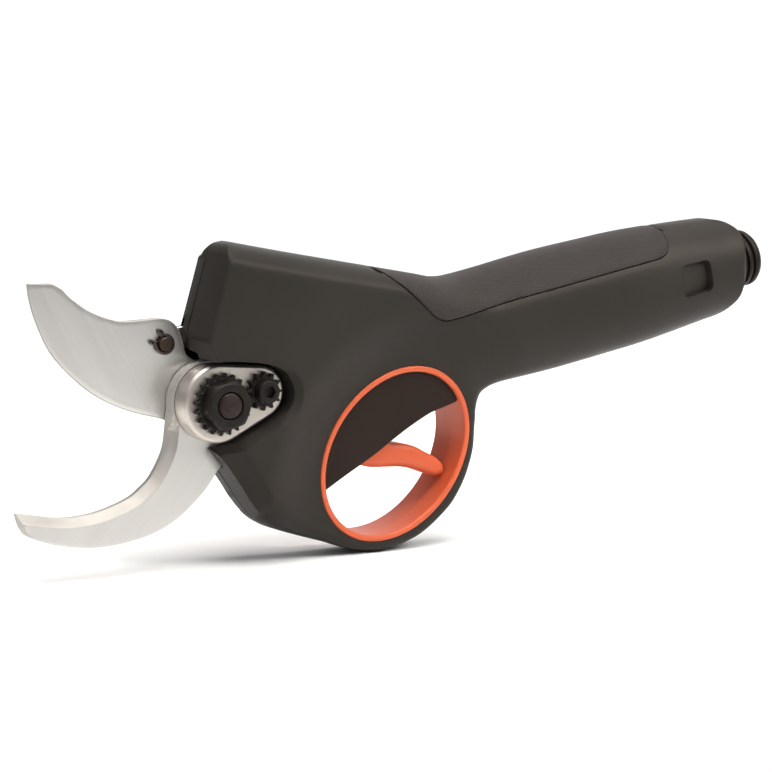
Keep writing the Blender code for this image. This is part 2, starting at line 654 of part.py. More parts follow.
# ---------------------------------------------------------------- grip pad
def pad_mesh(step):
    top = [p for p in spline(TOP, step) if PAD_EDGE[0][0] + 1 < p[0] < PAD_EDGE[-1][0] - 1]
    edge = spline(PAD_EDGE, min(step, 6))
    outline = chain(edge, top[::-1])
    V, F = triangulate(outline, [], [], step, (0.5, 2.0, 4.6, 8.5))
    h = casing_depth(V, step, True)
    ridge = dist(V, [edge[-1]] + top[::-1] + [edge[0]]) < 0.01
    bm = bmesh.new()
    table = {}

    def vert(i, s):
        k = (i, s)
        if k not in table:
            table[k] = bm.verts.new((V[i][0], s * h[i], V[i][1]))
        return table[k]
    for a, b, c in F:
        bm.faces.new((vert(a, -1), vert(b, -1), vert(c, -1)))
        bm.faces.new((vert(c, 1), vert(b, 1), vert(a, 1)))
        for i, j in ((a, b), (b, c), (c, a)):
            if ridge[i] and ridge[j]:
                bm.faces.new((vert(j, -1), vert(i, -1), vert(i, 1), vert(j, 1)))
    bm.normal_update()
    bm.verts.ensure_lookup_table()
    src = list(bm.verts)
    faces = list(bm.faces)
    borders = [e for e in bm.edges if e.is_boundary]
    inner = {}
    rim = {v for e in borders for v in e.verts}
    below = casing_depth(np.array([(v.co.x, v.co.z) for v in src]), step, True, inset=PAD_T)
    depth_top = dist(np.array([(v.co.x, v.co.z) for v in src]), spline(TOP, step))
    normals = [v.normal.copy() for v in src]
    for v, n, b, d in zip(src, normals, below, depth_top):
        if v in rim and d > 2.2:
            inner[v] = bm.verts.new((v.co.x, math.copysign(b, v.co.y), v.co.z))   # square edge
        else:
            inner[v] = bm.verts.new(v.co - n * PAD_T)
    for f in faces:
        bm.faces.new([inner[v] for v in reversed(f.verts)])
    for e in borders:
        a, b = e.verts
        bm.faces.new((a, b, inner[b], inner[a]))
    return bm


finish_object("grip_pad", pad_mesh(STEP), "rubber", smooth=50)


# ---------------------------------------------------------------- finger ring, in two halves
def ring_half(left, name, n):
    outer_e = ellipse(RING_C, RING_A, RING_B, RING_TILT, n)
    inner_e = ellipse(RING_C, RING_A - RING_RIM, RING_B - RING_RIM, RING_TILT, n)
    V, F = triangulate(outer_e, [inner_e], [], 50, ())
    outer = np.full(len(V), RING_H)
    deep = above(V, PANEL_EDGE) & (V[:, 0] < 26)
    inner = np.where(deep, 8.3, 0.15)
    return finish_object(name, field_mesh(V, F, outer, inner, -1 if left else 1), "orange")


ring_half(True, "finger_ring_left", 40)
ring_half(False, "finger_ring_right", 40)


# ---------------------------------------------------------------- trigger covers inside the ring
def cover(left, name):
    ring = ellipse(RING_C, RING_A - RING_RIM - GAP, RING_B - RING_RIM - GAP, RING_TILT, 64)
    arr = np.array(ring)
    keep = above(arr, PANEL_EDGE)
    idx = [i for i in range(64) if keep[i]]
    start = next(i for i in idx if not keep[i - 1])
    order = [(start + k) % 64 for k in range(len(idx))]
    curve = [ring[i] for i in order]
    edge = spline([p for p in PANEL_EDGE], 5.0)
    ell = np.array(edge)
    t = math.radians(RING_TILT)
    x, z = ell[:, 0] - RING_C[0], ell[:, 1] - RING_C[1]
    p, q = x * math.cos(t) + z * math.sin(t), -x * math.sin(t) + z * math.cos(t)
    ok = np.hypot(p / (RING_A - RING_RIM - 1.2), q / (RING_B - RING_RIM - 1.2)) < 1
    edge = [tuple(v) for v, k in zip(ell, ok) if k]
    outline = chain(curve, edge)
    pin = circle(TRIGGER_PIVOT, 2.0 + GAP, 14)
    V, F = triangulate(outline, [], [], 14.0, (), pin + circle(TRIGGER_PIVOT, 2.5 + GAP, 14) + [TRIGGER_PIVOT])
    outer = np.full(len(V), 9.5)
    inner = np.full(len(V), 6.6)
    r = np.hypot(V[:, 0] - TRIGGER_PIVOT[0], V[:, 1] - TRIGGER_PIVOT[1])
    inner = np.where(r < 2.4, 8.2, inner)
    return finish_object(name, field_mesh(V, F, outer, inner, -1 if left else 1), "panel")


cover(True, "trigger_cover_left")
cover(False, "trigger_cover_right")


# ---------------------------------------------------------------- trigger
TRIGGER = [(1.6, -21.0), (5.0, -21.3), (10.0, -22.7), (14.2, -24.9), (18.0, -26.8), (21.2, -29.2),
           (22.5, -31.5), (22.0, -33.9), (19.0, -34.4), (15.4, -33.3), (11.2, -31.8), (7.7, -30.7),
           (3.0, -29.9), (-2.5, -29.6), (-9.0, -29.2), (-15.0, -27.4), (-20.0, -24.4), (-21.4, -20.5),
           (-19.5, -16.6), (-15.5, -14.4), (-11.0, -14.9), (-6.0, -17.6), (-1.5, -20.2)]
MAGNET = (-5.0, -23.6)


def trigger_mesh(step):
    outline = spline(TRIGGER + TRIGGER[:1], step)[:-1]
    hole = circle(TRIGGER_PIVOT, 2.0 + GAP, 12)
    mag = circle(MAGNET, 1.8 + GAP, 10)
    hub = circle(TRIGGER_PIVOT, 5.3, 14) + circle(TRIGGER_PIVOT, 5.6, 14)
    V, F = triangulate(outline, [hole, mag], [], 7.0, (1.4,), hub)
    d = dist(V, outline, True)
    y = 4.2 + 1.3 * quarter(d / 1.4)
    r = np.hypot(V[:, 0] - TRIGGER_PIVOT[0], V[:, 1] - TRIGGER_PIVOT[1])
    y = np.where(r < 5.4, 2.7, y)          # hub, narrower to leave room for the spring
    bm = bmesh.new()
    a = [bm.verts.new((p[0], -h, p[1])) for p, h in zip(V, y)]
    b = [bm.verts.new((p[0], h, p[1])) for p, h in zip(V, y)]
    count = {}
    for i, j, k in F:
        bm.faces.new((a[i], a[j], a[k]))
        bm.faces.new((b[k], b[j], b[i]))
        for e in ((i, j), (j, k), (k, i)):
            key = tuple(sorted(e))
            count[key] = None if key in count else e
    for e in count.values():
        if e:
            bm.faces.new((a[e[1]], a[e[0]], b[e[0]], b[e[1]]))
    bmesh.ops.delete(bm, geom=[v for v in bm.verts if not v.link_faces], context="VERTS")
    return bm


finish_object("trigger", trigger_mesh(5.0), "orange", pivot=(TRIGGER_PIVOT[0], 0, TRIGGER_PIVOT[1]))
finish_object("trigger_magnet", rod(MAGNET, 1.8, -3.0, 3.0, 12), "steel")
finish_object("trigger_pin", rod(TRIGGER_PIVOT, 2.0, -7.9, 7.9, 16), "steel")


def helix(c, r, wire, y0, y1, turns, seg, ring, leg):
    """Torsion spring round a pin along Y, with one straight leg at each end."""
    pts = []
    n = int(turns * seg)
    for i in range(n + 1):
        a = math.radians(200) + 2 * math.pi * turns * i / n
        pts.append(Vector((c[0] + r * math.cos(a), y0 + (y1 - y0) * i / n, c[1] + r * math.sin(a))))
    d0 = (pts[0] - pts[1]).normalized()
    d1 = (pts[-1] - pts[-2]).normalized()
    d0.y = 0
    d1.y = 0
    pts = [pts[0] + d0 * leg] + pts + [pts[-1] + d1 * leg]
    bm = bmesh.new()
    rows = []
    for i, p in enumerate(pts):
        t = (pts[min(i + 1, len(pts) - 1)] - pts[max(i - 1, 0)]).normalized()
        e1 = t.cross(Vector((0, 1, 0))).normalized()
        e2 = t.cross(e1).normalized()
        rows.append([bm.verts.new(p + wire * (math.cos(2 * math.pi * k / ring) * e1
                                              + math.sin(2 * math.pi * k / ring) * e2)) for k in range(ring)])
    for a, b in zip(rows[:-1], rows[1:]):
        for k in range(ring):
            bm.faces.new((a[k], a[(k + 1) % ring], b[(k + 1) % ring], b[k]))
    bm.faces.new(rows[0][::-1])
    bm.faces.new(rows[-1])
    return bm


finish_object("trigger_spring", helix(TRIGGER_PIVOT, 3.3, 0.4, 3.4, 5.6, 2.1, 10, 5, 1.6), "steel", smooth=80)


# ---------------------------------------------------------------- cutting head
def solid_field(name, outline, holes, y_in, depth, side, slot, step, offsets, pivot=None, extra=(), smooth=30):
    V, F = triangulate(outline, holes, [], step, offsets, extra)
    return finish_object(name, field_mesh(V, F, depth(V), np.full(len(V), y_in), side), slot,
                         pivot=pivot, smooth=smooth)


BLADE_BACK = [(-143.0, 43.4), (-133.6, 43.1), (-129.8, 40.9), (-126.3, 37.6), (-119.0, 32.7),
              (-110.7, 29.6), (-106.0, 28.8), (-97.0, 29.1), (-92.0, 29.3), (-88.2, 28.2), (-85.4, 25.4),
              (-83.8, 21.0), (-82.2, 16.0), (-78.5, 13.4)]
BLADE_EDGE = [(-85.6, -11.0), (-88.6, -8.6), (-92.1, -6.4), (-101.8, -3.8), (-111.1, -0.3), (-120.2, 4.9),
              (-129.1, 12.7), (-135.4, 20.3), (-140.1, 30.5), (-142.3, 38.0), (-143.0, 43.4)]


def blade_outline(step):
    back = spline(BLADE_BACK[:2], step)[:-1] + spline(BLADE_BACK[1:], step)
    disc = arc(PIVOT, 14.0, 86, -124, 14)
    return chain(back, disc, spline(BLADE_EDGE, step))


def blade_depth(V):
    d = dist(V, spline(BLADE_EDGE[2:], 3.0))
    return BLADE_Y[0] + np.minimum(BLADE_Y[1] - BLADE_Y[0], 0.5 + 0.42 * d)


solid_field("cutting_blade", blade_outline(5.5), [circle(PIVOT, 7.2, 20), circle(LINK_PIN, 2.8, 12)],
            BLADE_Y[0], blade_depth, 1, "blade", 11.0, (8.3,), pivot=(PIVOT[0], 0, PIVOT[1]))

HOOK_OUTER = [(-149.6, -37.4), (-148.9, -40.0), (-146.8, -42.4), (-143.5, -44.2), (-136.3, -46.6),
              (-127.3, -48.3), (-118.2, -48.9), (-108.9, -48.0), (-99.6, -46.0), (-90.1, -41.8),
              (-80.5, -34.3), (-76.0, -29.2), (-71.2, -23.4), (-65.5, -23.5)]
HOOK_TANG = [(-65.5, -23.5), (-57.0, -26.0), (-50.5, -25.2), (-47.6, -20.5), (-47.6, -12.0), (-51.5, -7.4),
             (-58.0, -5.6), (-62.3, -5.6)]
HOOK_INNER = [(-91.0, -4.0), (-91.6, -10.0), (-93.0, -17.4), (-97.7, -25.9), (-102.4, -30.3), (-107.0, -33.3),
              (-116.2, -36.5), (-125.4, -38.0), (-134.5, -37.8), (-143.4, -36.1), (-148.4, -35.4),
              (-149.6, -37.4)]


def hook_outline(step):
    disc = arc(PIVOT, 14.6, -20.5, 188, 12)
    return chain(spline(HOOK_OUTER, step), spline(HOOK_TANG, step), disc,
                 spline(HOOK_INNER[:-1], step), spline(HOOK_INNER[-2:], step))


def hook_depth(V):
    d = dist(V, spline(HOOK_INNER[1:-1], 3.0))
    return np.minimum(HOOK_Y[1], 2.4 + 1.2 * d)


PINION = polar(PIVOT, GEAR_MODULE * (NUT_TEETH + PINION_TEETH) / 2, PINION_ANGLE)
solid_field("counter_blade", hook_outline(5.4),
            [circle(PIVOT, 5.2, 24), circle(PINION, 2.5, 14)] + [circle(c, 1.8, 10) for c in TANG_SCREWS],
            HOOK_Y[0], hook_depth, -1, "blade", 12.0, (3.0,))

PLATE_END = ((-60.5, 2.6), 9.6)


def plate_mesh(n, chamfer=0.8):
    outline = hull2(PIVOT, 14.0, PLATE_END[0], PLATE_END[1], n)
    V, F = triangulate(outline, [circle(PIVOT, 5.2, 24), circle(PINION, 2.5, 14)], [], 9.0, (chamfer,))
    d = dist(V, outline, True)
    return field_mesh(V, F, PLATE_TOP - chamfer * (1 - np.minimum(d / chamfer, 1)), np.full(len(V), 6.3), -1)


finish_object("pivot_plate", plate_mesh(8), "satin", smooth=25)

bolt = [(0, 0), (0, 4.1), (0.5, 4.6), (32.1, 4.8), (32.1, 8.5), (35.3, 8.5), (36.0, 7.8), (36.0, 4.2), (34.0, 4.2), (34.0, 0)]
finish_object("pivot_bolt", lathe(bolt, 20, (PIVOT[0], -22.5, PIVOT[1]), (0, 1, 0)), "blackened")
finish_object("pivot_spacer", ring_bush(PIVOT, 5.2, 8.0, 4.5, 9.3), "steel")
finish_object("blade_bush", ring_bush(PIVOT, 5.2, 6.9, 0.2, 4.2), "steel")

nut_axis = (PIVOT[0], 0, PIVOT[1])
bore = circle(PIVOT, 5.1, 24)
hexa = regular(PIVOT, 16.0, 6, math.radians(12))
nut = stack([(-22.0, -16.8, hexa, [bore]),
             (-16.8, -14.5, gear(PIVOT, NUT_TEETH, GEAR_MODULE, math.radians(PINION_ANGLE)), [bore])])
finish_object("pivot_nut", nut, "blackened", pivot=nut_axis, smooth=20)

pin_axis = (PINION[0], 0, PINION[1])
pinion_phase = math.radians(PINION_ANGLE + 180) + math.pi / PINION_TEETH
finish_object("adjuster_pinion", slab(gear(PINION, PINION_TEETH, GEAR_MODULE, pinion_phase),
                                      [circle(PINION, 2.5, 14)], -18.4, -14.5), "blackened", pivot=pin_axis, smooth=20)
socket = regular(PINION, 4.0, 6)
head = stack([(-21.8, -19.6, circle(PINION, 4.2, 24), [socket]), (-19.6, -18.7, circle(PINION, 4.2, 24), []),
              (-18.7, -1.0, circle(PINION, 2.2, 14), [])])
finish_object("pinion_screw", head, "blackened", smooth=20)

for i, c in enumerate(TANG_SCREWS):
    p = [(0, 0), (0, 1.4), (14.4, 1.5), (14.4, 3.0), (16.6, 3.0), (16.6, 0)]
    finish_object("tang_screw_%d" % (i + 1), lathe(p, 12, (c[0], 8.1, c[1]), (0, -1, 0)), "steel")

# ---------------------------------------------------------------- link and its pins
link = hull2(LINK_PIN, 6.0, ROD_PIN, 6.0, 10)


def link_outline(n):
    a = np.array(LINK_PIN)
    b = np.array(ROD_PIN)
    u = (b - a) / np.linalg.norm(b - a)
    nrm = np.array([-u[1], u[0]])
    ang = math.degrees(math.atan2(u[1], u[0]))
    e0 = arc(LINK_PIN, 6.0, ang + 42, ang + 318, n)
    e1 = arc(ROD_PIN, 6.3, ang - 138, ang + 138, n)
    return chain(e0, e1)


finish_object("drive_link", slab(link_outline(14), [circle(LINK_PIN, 2.8, 16), circle(ROD_PIN, 4.0, 16)], 4.5, 8.5),
              "steel", pivot=(LINK_PIN[0], 0, LINK_PIN[1]), smooth=25)
finish_object("link_pin", rod(LINK_PIN, 2.5, -3.0, 8.9, 20, head=(3.8, 1.6)), "blackened",
              pivot=(LINK_PIN[0], 0, LINK_PIN[1]))


def clip_outline(c, gap_deg):
    """External retaining ring: a C, wider opposite its gap, with an ear at each end."""
    a0, a1 = gap_deg + 20, gap_deg + 340
    outer = [polar(c, 3.65 + 0.25 * math.cos(math.radians(a - gap_deg - 180)), a)
             for a in np.linspace(a0 + 26, a1 - 26, 15)]
    inner = arc(c, 2.7, a1, a0, 16)
    ear1 = [polar(c, 4.3, a1 - 25), polar(c, 5.2, a1 - 17), polar(c, 5.3, a1 - 5), polar(c, 4.6, a1)]
    ear0 = [polar(c, 4.6, a0), polar(c, 5.3, a0 + 5), polar(c, 5.2, a0 + 17), polar(c, 4.3, a0 + 25)]
    return chain(outer, ear1, inner, ear0)


finish_object("link_pin_circlip", slab(clip_outline(LINK_PIN, 140), [], -1.3, -0.2), "blackened", smooth=20)
finish_object("rod_pin", rod(ROD_PIN, 2.0, -6.5, 9.0, 16, head=(3.0, 1.4)), "steel")

# ---------------------------------------------------------------- screw drive
AX = (0, DRIVE_Z)
block = slab([(-51.5, DRIVE_Z - 5.5), (-39.0, DRIVE_Z - 5.5), (-39.0, DRIVE_Z + 5.5), (-51.5, DRIVE_Z + 5.5)],
             [circle(ROD_PIN, 2.3, 16)], -4.2, 4.2)
screw_p = [(0, 0), (0, 4.0), (12, 4.0)]
for k in range(4):
    s0 = 14 + 10.0 * k
    screw_p += [(s0, 3.4), (s0 + 1.2, 4.2), (s0 + 3.6, 4.2), (s0 + 4.8, 3.4)]
screw_p += [(54.5, 3.4), (54.5, 0)]
ob_rod = finish_object("push_rod", lathe(screw_p, 12, (-41.0, 0, DRIVE_Z), (1, 0, 0)), "steel")
ob_block = finish_object("push_rod_head_cutter", block, "steel")
ob_block.hide_render = True
ob_block.display_type = "WIRE"
un = ob_rod.modifiers.new("head", "BOOLEAN")
un.operation = "UNION"
un.solver = "EXACT"
un.object = ob_block

nut_p = [(-14, 4.7), (-14, 8.7), (-12.5, 9.1), (-12.5, 9.1), (-4.5, 9.1), (-4.5, 9.4), (-3.5, 9.4), (-3.5, 8.4),
         (34.0, 8.4), (34.0, 3.0), (31.0, 3.0), (31.0, 4.7)]
nut_p = [p for i, p in enumerate(nut_p) if i == 0 or p != nut_p[i - 1]]


def closed_lathe(profile, n, z):
    bm = bmesh.new()
    rows = [[bm.verts.new((s, r * math.cos(2 * math.pi * i / n), z + r * math.sin(2 * math.pi * i / n)))
             for i in range(n)] for s, r in profile]
    for a, b in zip(rows, rows[1:] + rows[:1]):
        for i in range(n):
            bm.faces.new((a[i], a[(i + 1) % n], b[(i + 1) % n], b[i]))
    return bm


finish_object("drive_nut", closed_lathe(nut_p, 18, DRIVE_Z), "steel", pivot=(0, 0, DRIVE_Z))
finish_object("nut_bearing", closed_lathe([(-12.3, 9.4), (-12.3, 12.9), (-4.9, 12.9), (-4.9, 9.4)], 20,
                                          DRIVE_Z), "steel")
gb = [(0, 0), (0, 2.7), (3.2, 2.7), (3.2, 10.4), (22, 10.4), (22.6, 10.8), (25.4, 10.8), (25.4, 0)]
finish_object("gearbox", lathe(gb, 18, (31.3, 0, DRIVE_Z)), "steel")
mt = [(0, 0), (0, 8.0), (1.2, 11.8), (2.0, 12.6), (34, 12.6), (35.0, 11.4), (35.0, 5.0), (37.5, 5.0), (37.5, 0)]
finish_object("motor", lathe(mt, 20, (57.0, 0, DRIVE_Z)), "steel")
finish_object("control_board", slab([(104.5, 19.5), (143.0, 26.0), (143.0, 43.0), (129.0, 44.0), (104.5, 46.0)],
                                    [], -0.8, 0.8), "board")
finish_object("trigger_sensor_board", slab([(-13.0, -9.5), (4.0, -9.5), (4.0, -2.0), (-13.0, -2.0)], [], -0.8, 0.8),
              "board")

# ---------------------------------------------------------------- cable inlet
t = math.radians(INLET_TILT)
axis = (math.cos(t), 0, math.sin(t))
start = (INLET[0], 0, INLET[1])
inlet_p = [(-9.0, 6.4), (-9.0, 11.6), (-6.6, 11.6), (-6.6, 9.4), (2.3, 9.4), (2.3, 11.0), (3.8, 11.0), (4.2, 10.0),
           (5.2, 11.2), (6.6, 11.2), (7.3, 10.0), (8.1, 11.2), (9.4, 11.2), (10.0, 10.3),
           (11.4, 9.9), (11.4, 7.4), (-2.0, 7.4), (-2.0, 6.4)]


def turned_ring(profile, n, start, axis):
    bm = bmesh.new()
    d = Vector(axis).normalized()
    e1 = Vector((0, 1, 0))
    e2 = d.cross(e1).normalized()
    rows = [[bm.verts.new(Vector(start) + d * s + r * (math.cos(2 * math.pi * i / n) * e1
                                                       + math.sin(2 * math.pi * i / n) * e2)) for i in range(n)]
            for s, r in profile]
    for a, b in zip(rows, rows[1:] + rows[:1]):
        for i in range(n):
            bm.faces.new((a[i], a[(i + 1) % n], b[(i + 1) % n], b[i]))
    return bm


finish_object("cable_inlet", turned_ring(inlet_p, 18, start, axis), "connector")
finish_object("inlet_seal", turned_ring([(1.4, 9.7), (1.4, 11.9), (2.0, 11.9), (2.0, 9.7)], 18, start, axis), "rubber")
finish_object("inlet_core", lathe([(0, 0), (0, 6.0), (6.9, 6.0), (6.9, 7.0), (10.5, 7.0), (10.5, 4.6), (9.5, 4.6), (9.5, 0)],
                                  20, tuple(Vector(start) + Vector(axis) * -8.4), axis), "connector")
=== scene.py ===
"""Looks of the battery electric pruner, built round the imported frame.

Design dimensions are in millimetres on the tool's own datum: X from the blades to the
inlet, Y = 0 on the casing's parting plane, Z up.  w() turns them into scene metres.
"""
import math
import bpy
import bmesh
import numpy as np
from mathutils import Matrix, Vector
from mathutils.kdtree import KDTree
from mathutils.geometry import delaunay_2d_cdt


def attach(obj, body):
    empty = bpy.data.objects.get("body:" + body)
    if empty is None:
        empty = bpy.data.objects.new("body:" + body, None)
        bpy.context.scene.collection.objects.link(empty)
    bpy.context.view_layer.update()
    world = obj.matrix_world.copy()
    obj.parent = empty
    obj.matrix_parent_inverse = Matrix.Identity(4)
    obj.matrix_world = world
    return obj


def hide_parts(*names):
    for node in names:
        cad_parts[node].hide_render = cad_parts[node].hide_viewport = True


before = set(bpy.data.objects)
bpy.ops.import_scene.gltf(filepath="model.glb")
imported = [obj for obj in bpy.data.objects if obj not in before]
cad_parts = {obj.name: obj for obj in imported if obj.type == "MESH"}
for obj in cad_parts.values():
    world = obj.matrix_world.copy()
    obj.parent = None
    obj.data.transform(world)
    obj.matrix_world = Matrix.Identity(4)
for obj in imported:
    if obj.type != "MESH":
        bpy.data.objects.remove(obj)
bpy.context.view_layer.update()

# ---------------------------------------------------------------- design dimensions (mm)
DATUM = (-9.84, 1.5, 60.01)         # design datum to the part's own origin
GAP = 0.3                          # clearance between separate pieces

PIVOT = (-76.2, -0.5)              # blade pivot axis, along Y
BLADE_Y = (0.2, 4.2)               # cutting blade, near and far face
HOOK_Y = (0.1, 6.0)                # counter-blade, depth below the parting plane
PLATE_TOP = 14.2                   # front of the pivot plate
GEAR_MODULE = 1.04
NUT_TEETH, PINION_TEETH = 20, 12
PINION_ANGLE = 13.2                # direction from the pivot to the pinion, degrees
LINK_PIN = (-91.5, 20.4)           # pin that joins the link to the cutting blade
DRIVE_Z = 26.0                     # height of the screw drive's axis
ROD_PIN = (-45.0, DRIVE_Z)         # pin that joins the link to the push rod
SHELL = 2.4                        # casing wall
HEAD_H, HANDLE_H = 18.2, 17.5      # half thickness of head and handle
RING_C = (-1.8, -23.9)             # finger ring, centre
RING_A, RING_B = 35.5, 27.9        # finger ring, outer semi-axes
RING_TILT = 45.0
RING_RIM = 2.2
RING_H = 10.6                      # half depth of the finger ring
TRIGGER_PIVOT = (-15.0, -21.0)
PAD_T = 1.6                        # grip pad thickness
INLET = (156.4, 40.4)              # cable inlet, where its axis leaves the casing
INLET_TILT = 9.5
NECK_R = 10.2                      # hole for the inlet's neck in the rear wall
STEP = 7.4                         # mesh spacing of the casing



# ---------------------------------------------------------------- geometry helpers
def circle(c, r, n, a0=0.0):
    return [(c[0] + r * math.cos(a0 + 2 * math.pi * i / n),
             c[1] + r * math.sin(a0 + 2 * math.pi * i / n)) for i in range(n)]


def arc(c, r, a0, a1, n):
    return [(c[0] + r * math.cos(math.radians(a0 + (a1 - a0) * i / n)),
             c[1] + r * math.sin(math.radians(a0 + (a1 - a0) * i / n))) for i in range(n + 1)]


def polar(c, r, deg):
    return (c[0] + r * math.cos(math.radians(deg)), c[1] + r * math.sin(math.radians(deg)))


def ellipse(c, a, b, tilt, n):
    t = math.radians(tilt)
    out = []
    for i in range(n):
        u = 2 * math.pi * i / n
        p, q = a * math.cos(u), b * math.sin(u)
        out.append((c[0] + p * math.cos(t) - q * math.sin(t), c[1] + p * math.sin(t) + q * math.cos(t)))
    return out


def spline(pts, step):
    """Points about `step` apart on a smooth curve through `pts` (both ends kept)."""
    P = [np.array(p, float) for p in pts]
    if len(P) == 2:
        n = max(1, int(round(np.linalg.norm(P[1] - P[0]) / step)))
        return [tuple(P[0] + (P[1] - P[0]) * i / n) for i in range(n + 1)]
    Q = [2 * P[0] - P[1]] + P + [2 * P[-1] - P[-2]]
    dense = []
    for i in range(1, len(Q) - 2):
        p0, p1, p2, p3 = Q[i - 1:i + 3]
        for k in range(16):
            t = k / 16
            dense.append(0.5 * (2 * p1 + (p2 - p0) * t + (2 * p0 - 5 * p1 + 4 * p2 - p3) * t * t
                                + (3 * p1 - p0 - 3 * p2 + p3) * t ** 3))
    dense.append(P[-1])
    D = np.array(dense)
    s = np.r_[0, np.cumsum(np.linalg.norm(np.diff(D, axis=0), axis=1))]
    n = max(1, int(round(s[-1] / step)))
    u = np.linspace(0, s[-1], n + 1)
    return list(zip(np.interp(u, s, D[:, 0]), np.interp(u, s, D[:, 1])))


def chain(*paths):
    """Join open paths end to end into one closed outline."""
    out = []
    for p in paths:
        for q in p:
            if not out or math.dist(out[-1], q) > 0.02:
                out.append(tuple(q))
    if math.dist(out[0], out[-1]) < 0.02:
        out.pop()
    return out


def dist(pts, path, closed=False):
    """Distance of each point to a polyline."""
    pts = np.asarray(pts, float).reshape(-1, 2)
    A = np.asarray(path, float)
    B = np.roll(A, -1, axis=0) if closed else A[1:]
    A = A if closed else A[:-1]
    best = np.full(len(pts), 1e9)
    for a, b in zip(A, B):
        ab = b - a
        L = max(ab @ ab, 1e-12)
        t = np.clip(((pts - a) @ ab) / L, 0, 1)
        best = np.minimum(best, np.hypot(*(pts - a - t[:, None] * ab).T))
    return best


def inside(pts, poly):
    pts = np.asarray(pts, float).reshape(-1, 2)
    A = np.asarray(poly, float)
    B = np.roll(A, -1, axis=0)
    hit = np.zeros(len(pts), bool)
    for (x0, y0), (x1, y1) in zip(A, B):
        if y0 == y1:
            continue
        c = (pts[:, 1] < y0) != (pts[:, 1] < y1)
        hit ^= c & (pts[:, 0] < (x1 - x0) * (pts[:, 1] - y0) / (y1 - y0) + x0)
    return hit


def offset_path(path, t):
    """Open path moved `t` to its right-hand side."""
    P = np.asarray(path, float)
    T = np.gradient(P, axis=0)
    T /= np.linalg.norm(T, axis=1)[:, None]
    return [tuple(q) for q in P + t * np.c_[T[:, 1], -T[:, 0]]]


def sstep(a, b, v):
    t = np.clip((v - a) / (b - a), 0, 1)
    return t * t * (3 - 2 * t)


def quarter(t):
    t = np.clip(t, 0, 1)
    return np.sqrt(np.maximum(0, 1 - (1 - t) ** 2))


def triangulate(outline, holes, lines, step, offsets, extra=()):
    """Triangles over a flat region, with rows of points at `offsets` from its edges,
    the open `lines` kept as edges, single `extra` points, and a grid elsewhere."""
    loops = [outline] + list(holes)
    pts, edges = [], []
    for lp in loops:
        k = len(pts)
        pts += lp
        edges += [(k + i, k + (i + 1) % len(lp)) for i in range(len(lp))]
    for ln in lines:
        k = len(pts)
        pts += ln
        edges += [(k + i, k + i + 1) for i in range(len(ln) - 1)]
    P = np.array(pts)

    def region(q):
        ok = inside(q, outline)
        for h in holes:
            ok &= ~inside(q, h)
        return ok

    def far(q, base, d):
        tree = KDTree(len(base))
        for i, p in enumerate(base):
            tree.insert((p[0], p[1], 0), i)
        tree.balance()
        return np.array([tree.find((p[0], p[1], 0))[2] > d for p in q], bool)

    edge_d = lambda q: np.min([dist(q, lp, True) for lp in loops], axis=0)
    prev = 0.0
    for off in offsets:
        new = []
        for lp in loops:
            L = np.array(lp)
            T = np.roll(L, -1, axis=0) - np.roll(L, 1, axis=0)
            N = np.c_[-T[:, 1], T[:, 0]] / np.maximum(np.linalg.norm(T, axis=1), 1e-9)[:, None]
            for s in (1, -1):
                q = L + s * off * N
                q = q[region(q)]
                if len(q):
                    new.append(q[edge_d(q) > off * 0.93])
        if new:
            q = np.vstack(new)
            q = q[far(q, P, min((off - prev) * 0.85, step * 0.45))]
            P = np.vstack([P, q]) if len(q) else P
        prev = off
    if len(extra):
        q = np.array(extra)
        q = q[region(q)]
        q = q[far(q, P, 0.02)]
        P = np.vstack([P, q]) if len(q) else P
    lo, hi = np.min(outline, axis=0), np.max(outline, axis=0)
    grid = []
    row = 0
    z = lo[1]
    while z < hi[1]:
        xs = np.arange(lo[0] + (step / 2 if row % 2 else 0), hi[0], step)
        grid.append(np.c_[xs, np.full(len(xs), z)])
        z += step * 0.866
        row += 1
    q = np.vstack(grid)
    q = q[region(q)]
    q = q[edge_d(q) > step * 0.5]
    q = q[far(q, P, step * 0.62)]
    P = np.vstack([P, q]) if len(q) else P
    vs, es, fs, _, _, _ = delaunay_2d_cdt([Vector(p) for p in P.tolist()], edges, [], 0, 1e-6)
    V = np.array([tuple(v) for v in vs])
    F = np.array([f for f in fs if len(f) == 3])
    c = V[F].mean(axis=1)
    F = F[region(c)]
    a, b, d = V[F[:, 0]], V[F[:, 1]], V[F[:, 2]]
    area = (b[:, 0] - a[:, 0]) * (d[:, 1] - a[:, 1]) - (b[:, 1] - a[:, 1]) * (d[:, 0] - a[:, 0])
    F = F[np.abs(area) > 1e-5]
    area = area[np.abs(area) > 1e-5]
    F[area < 0] = F[area < 0][:, ::-1]
    return V, F


def field_mesh(V, F, outer, inner, side):
    """Closed mesh between the depths `inner` and `outer` (arrays, mm) on one side of Y = 0."""
    bm = bmesh.new()
    vo = [bm.verts.new((x, side * h, z)) for (x, z), h in zip(V, outer)]
    vi = [bm.verts.new((x, side * h, z)) for (x, z), h in zip(V, inner)]
    count = {}
    for a, b, c in F:
        bm.faces.new((vo[a], vo[b], vo[c]))
        bm.faces.new((vi[c], vi[b], vi[a]))
        for e in ((a, b), (b, c), (c, a)):
            k = tuple(sorted(e))
            count[k] = None if k in count else e
    for e in count.values():
        if e:
            a, b = e
            bm.faces.new((vo[b], vo[a], vi[a], vi[b]))
    loose = [v for v in bm.verts if not v.link_faces]
    bmesh.ops.delete(bm, geom=loose, context="VERTS")
    return bm


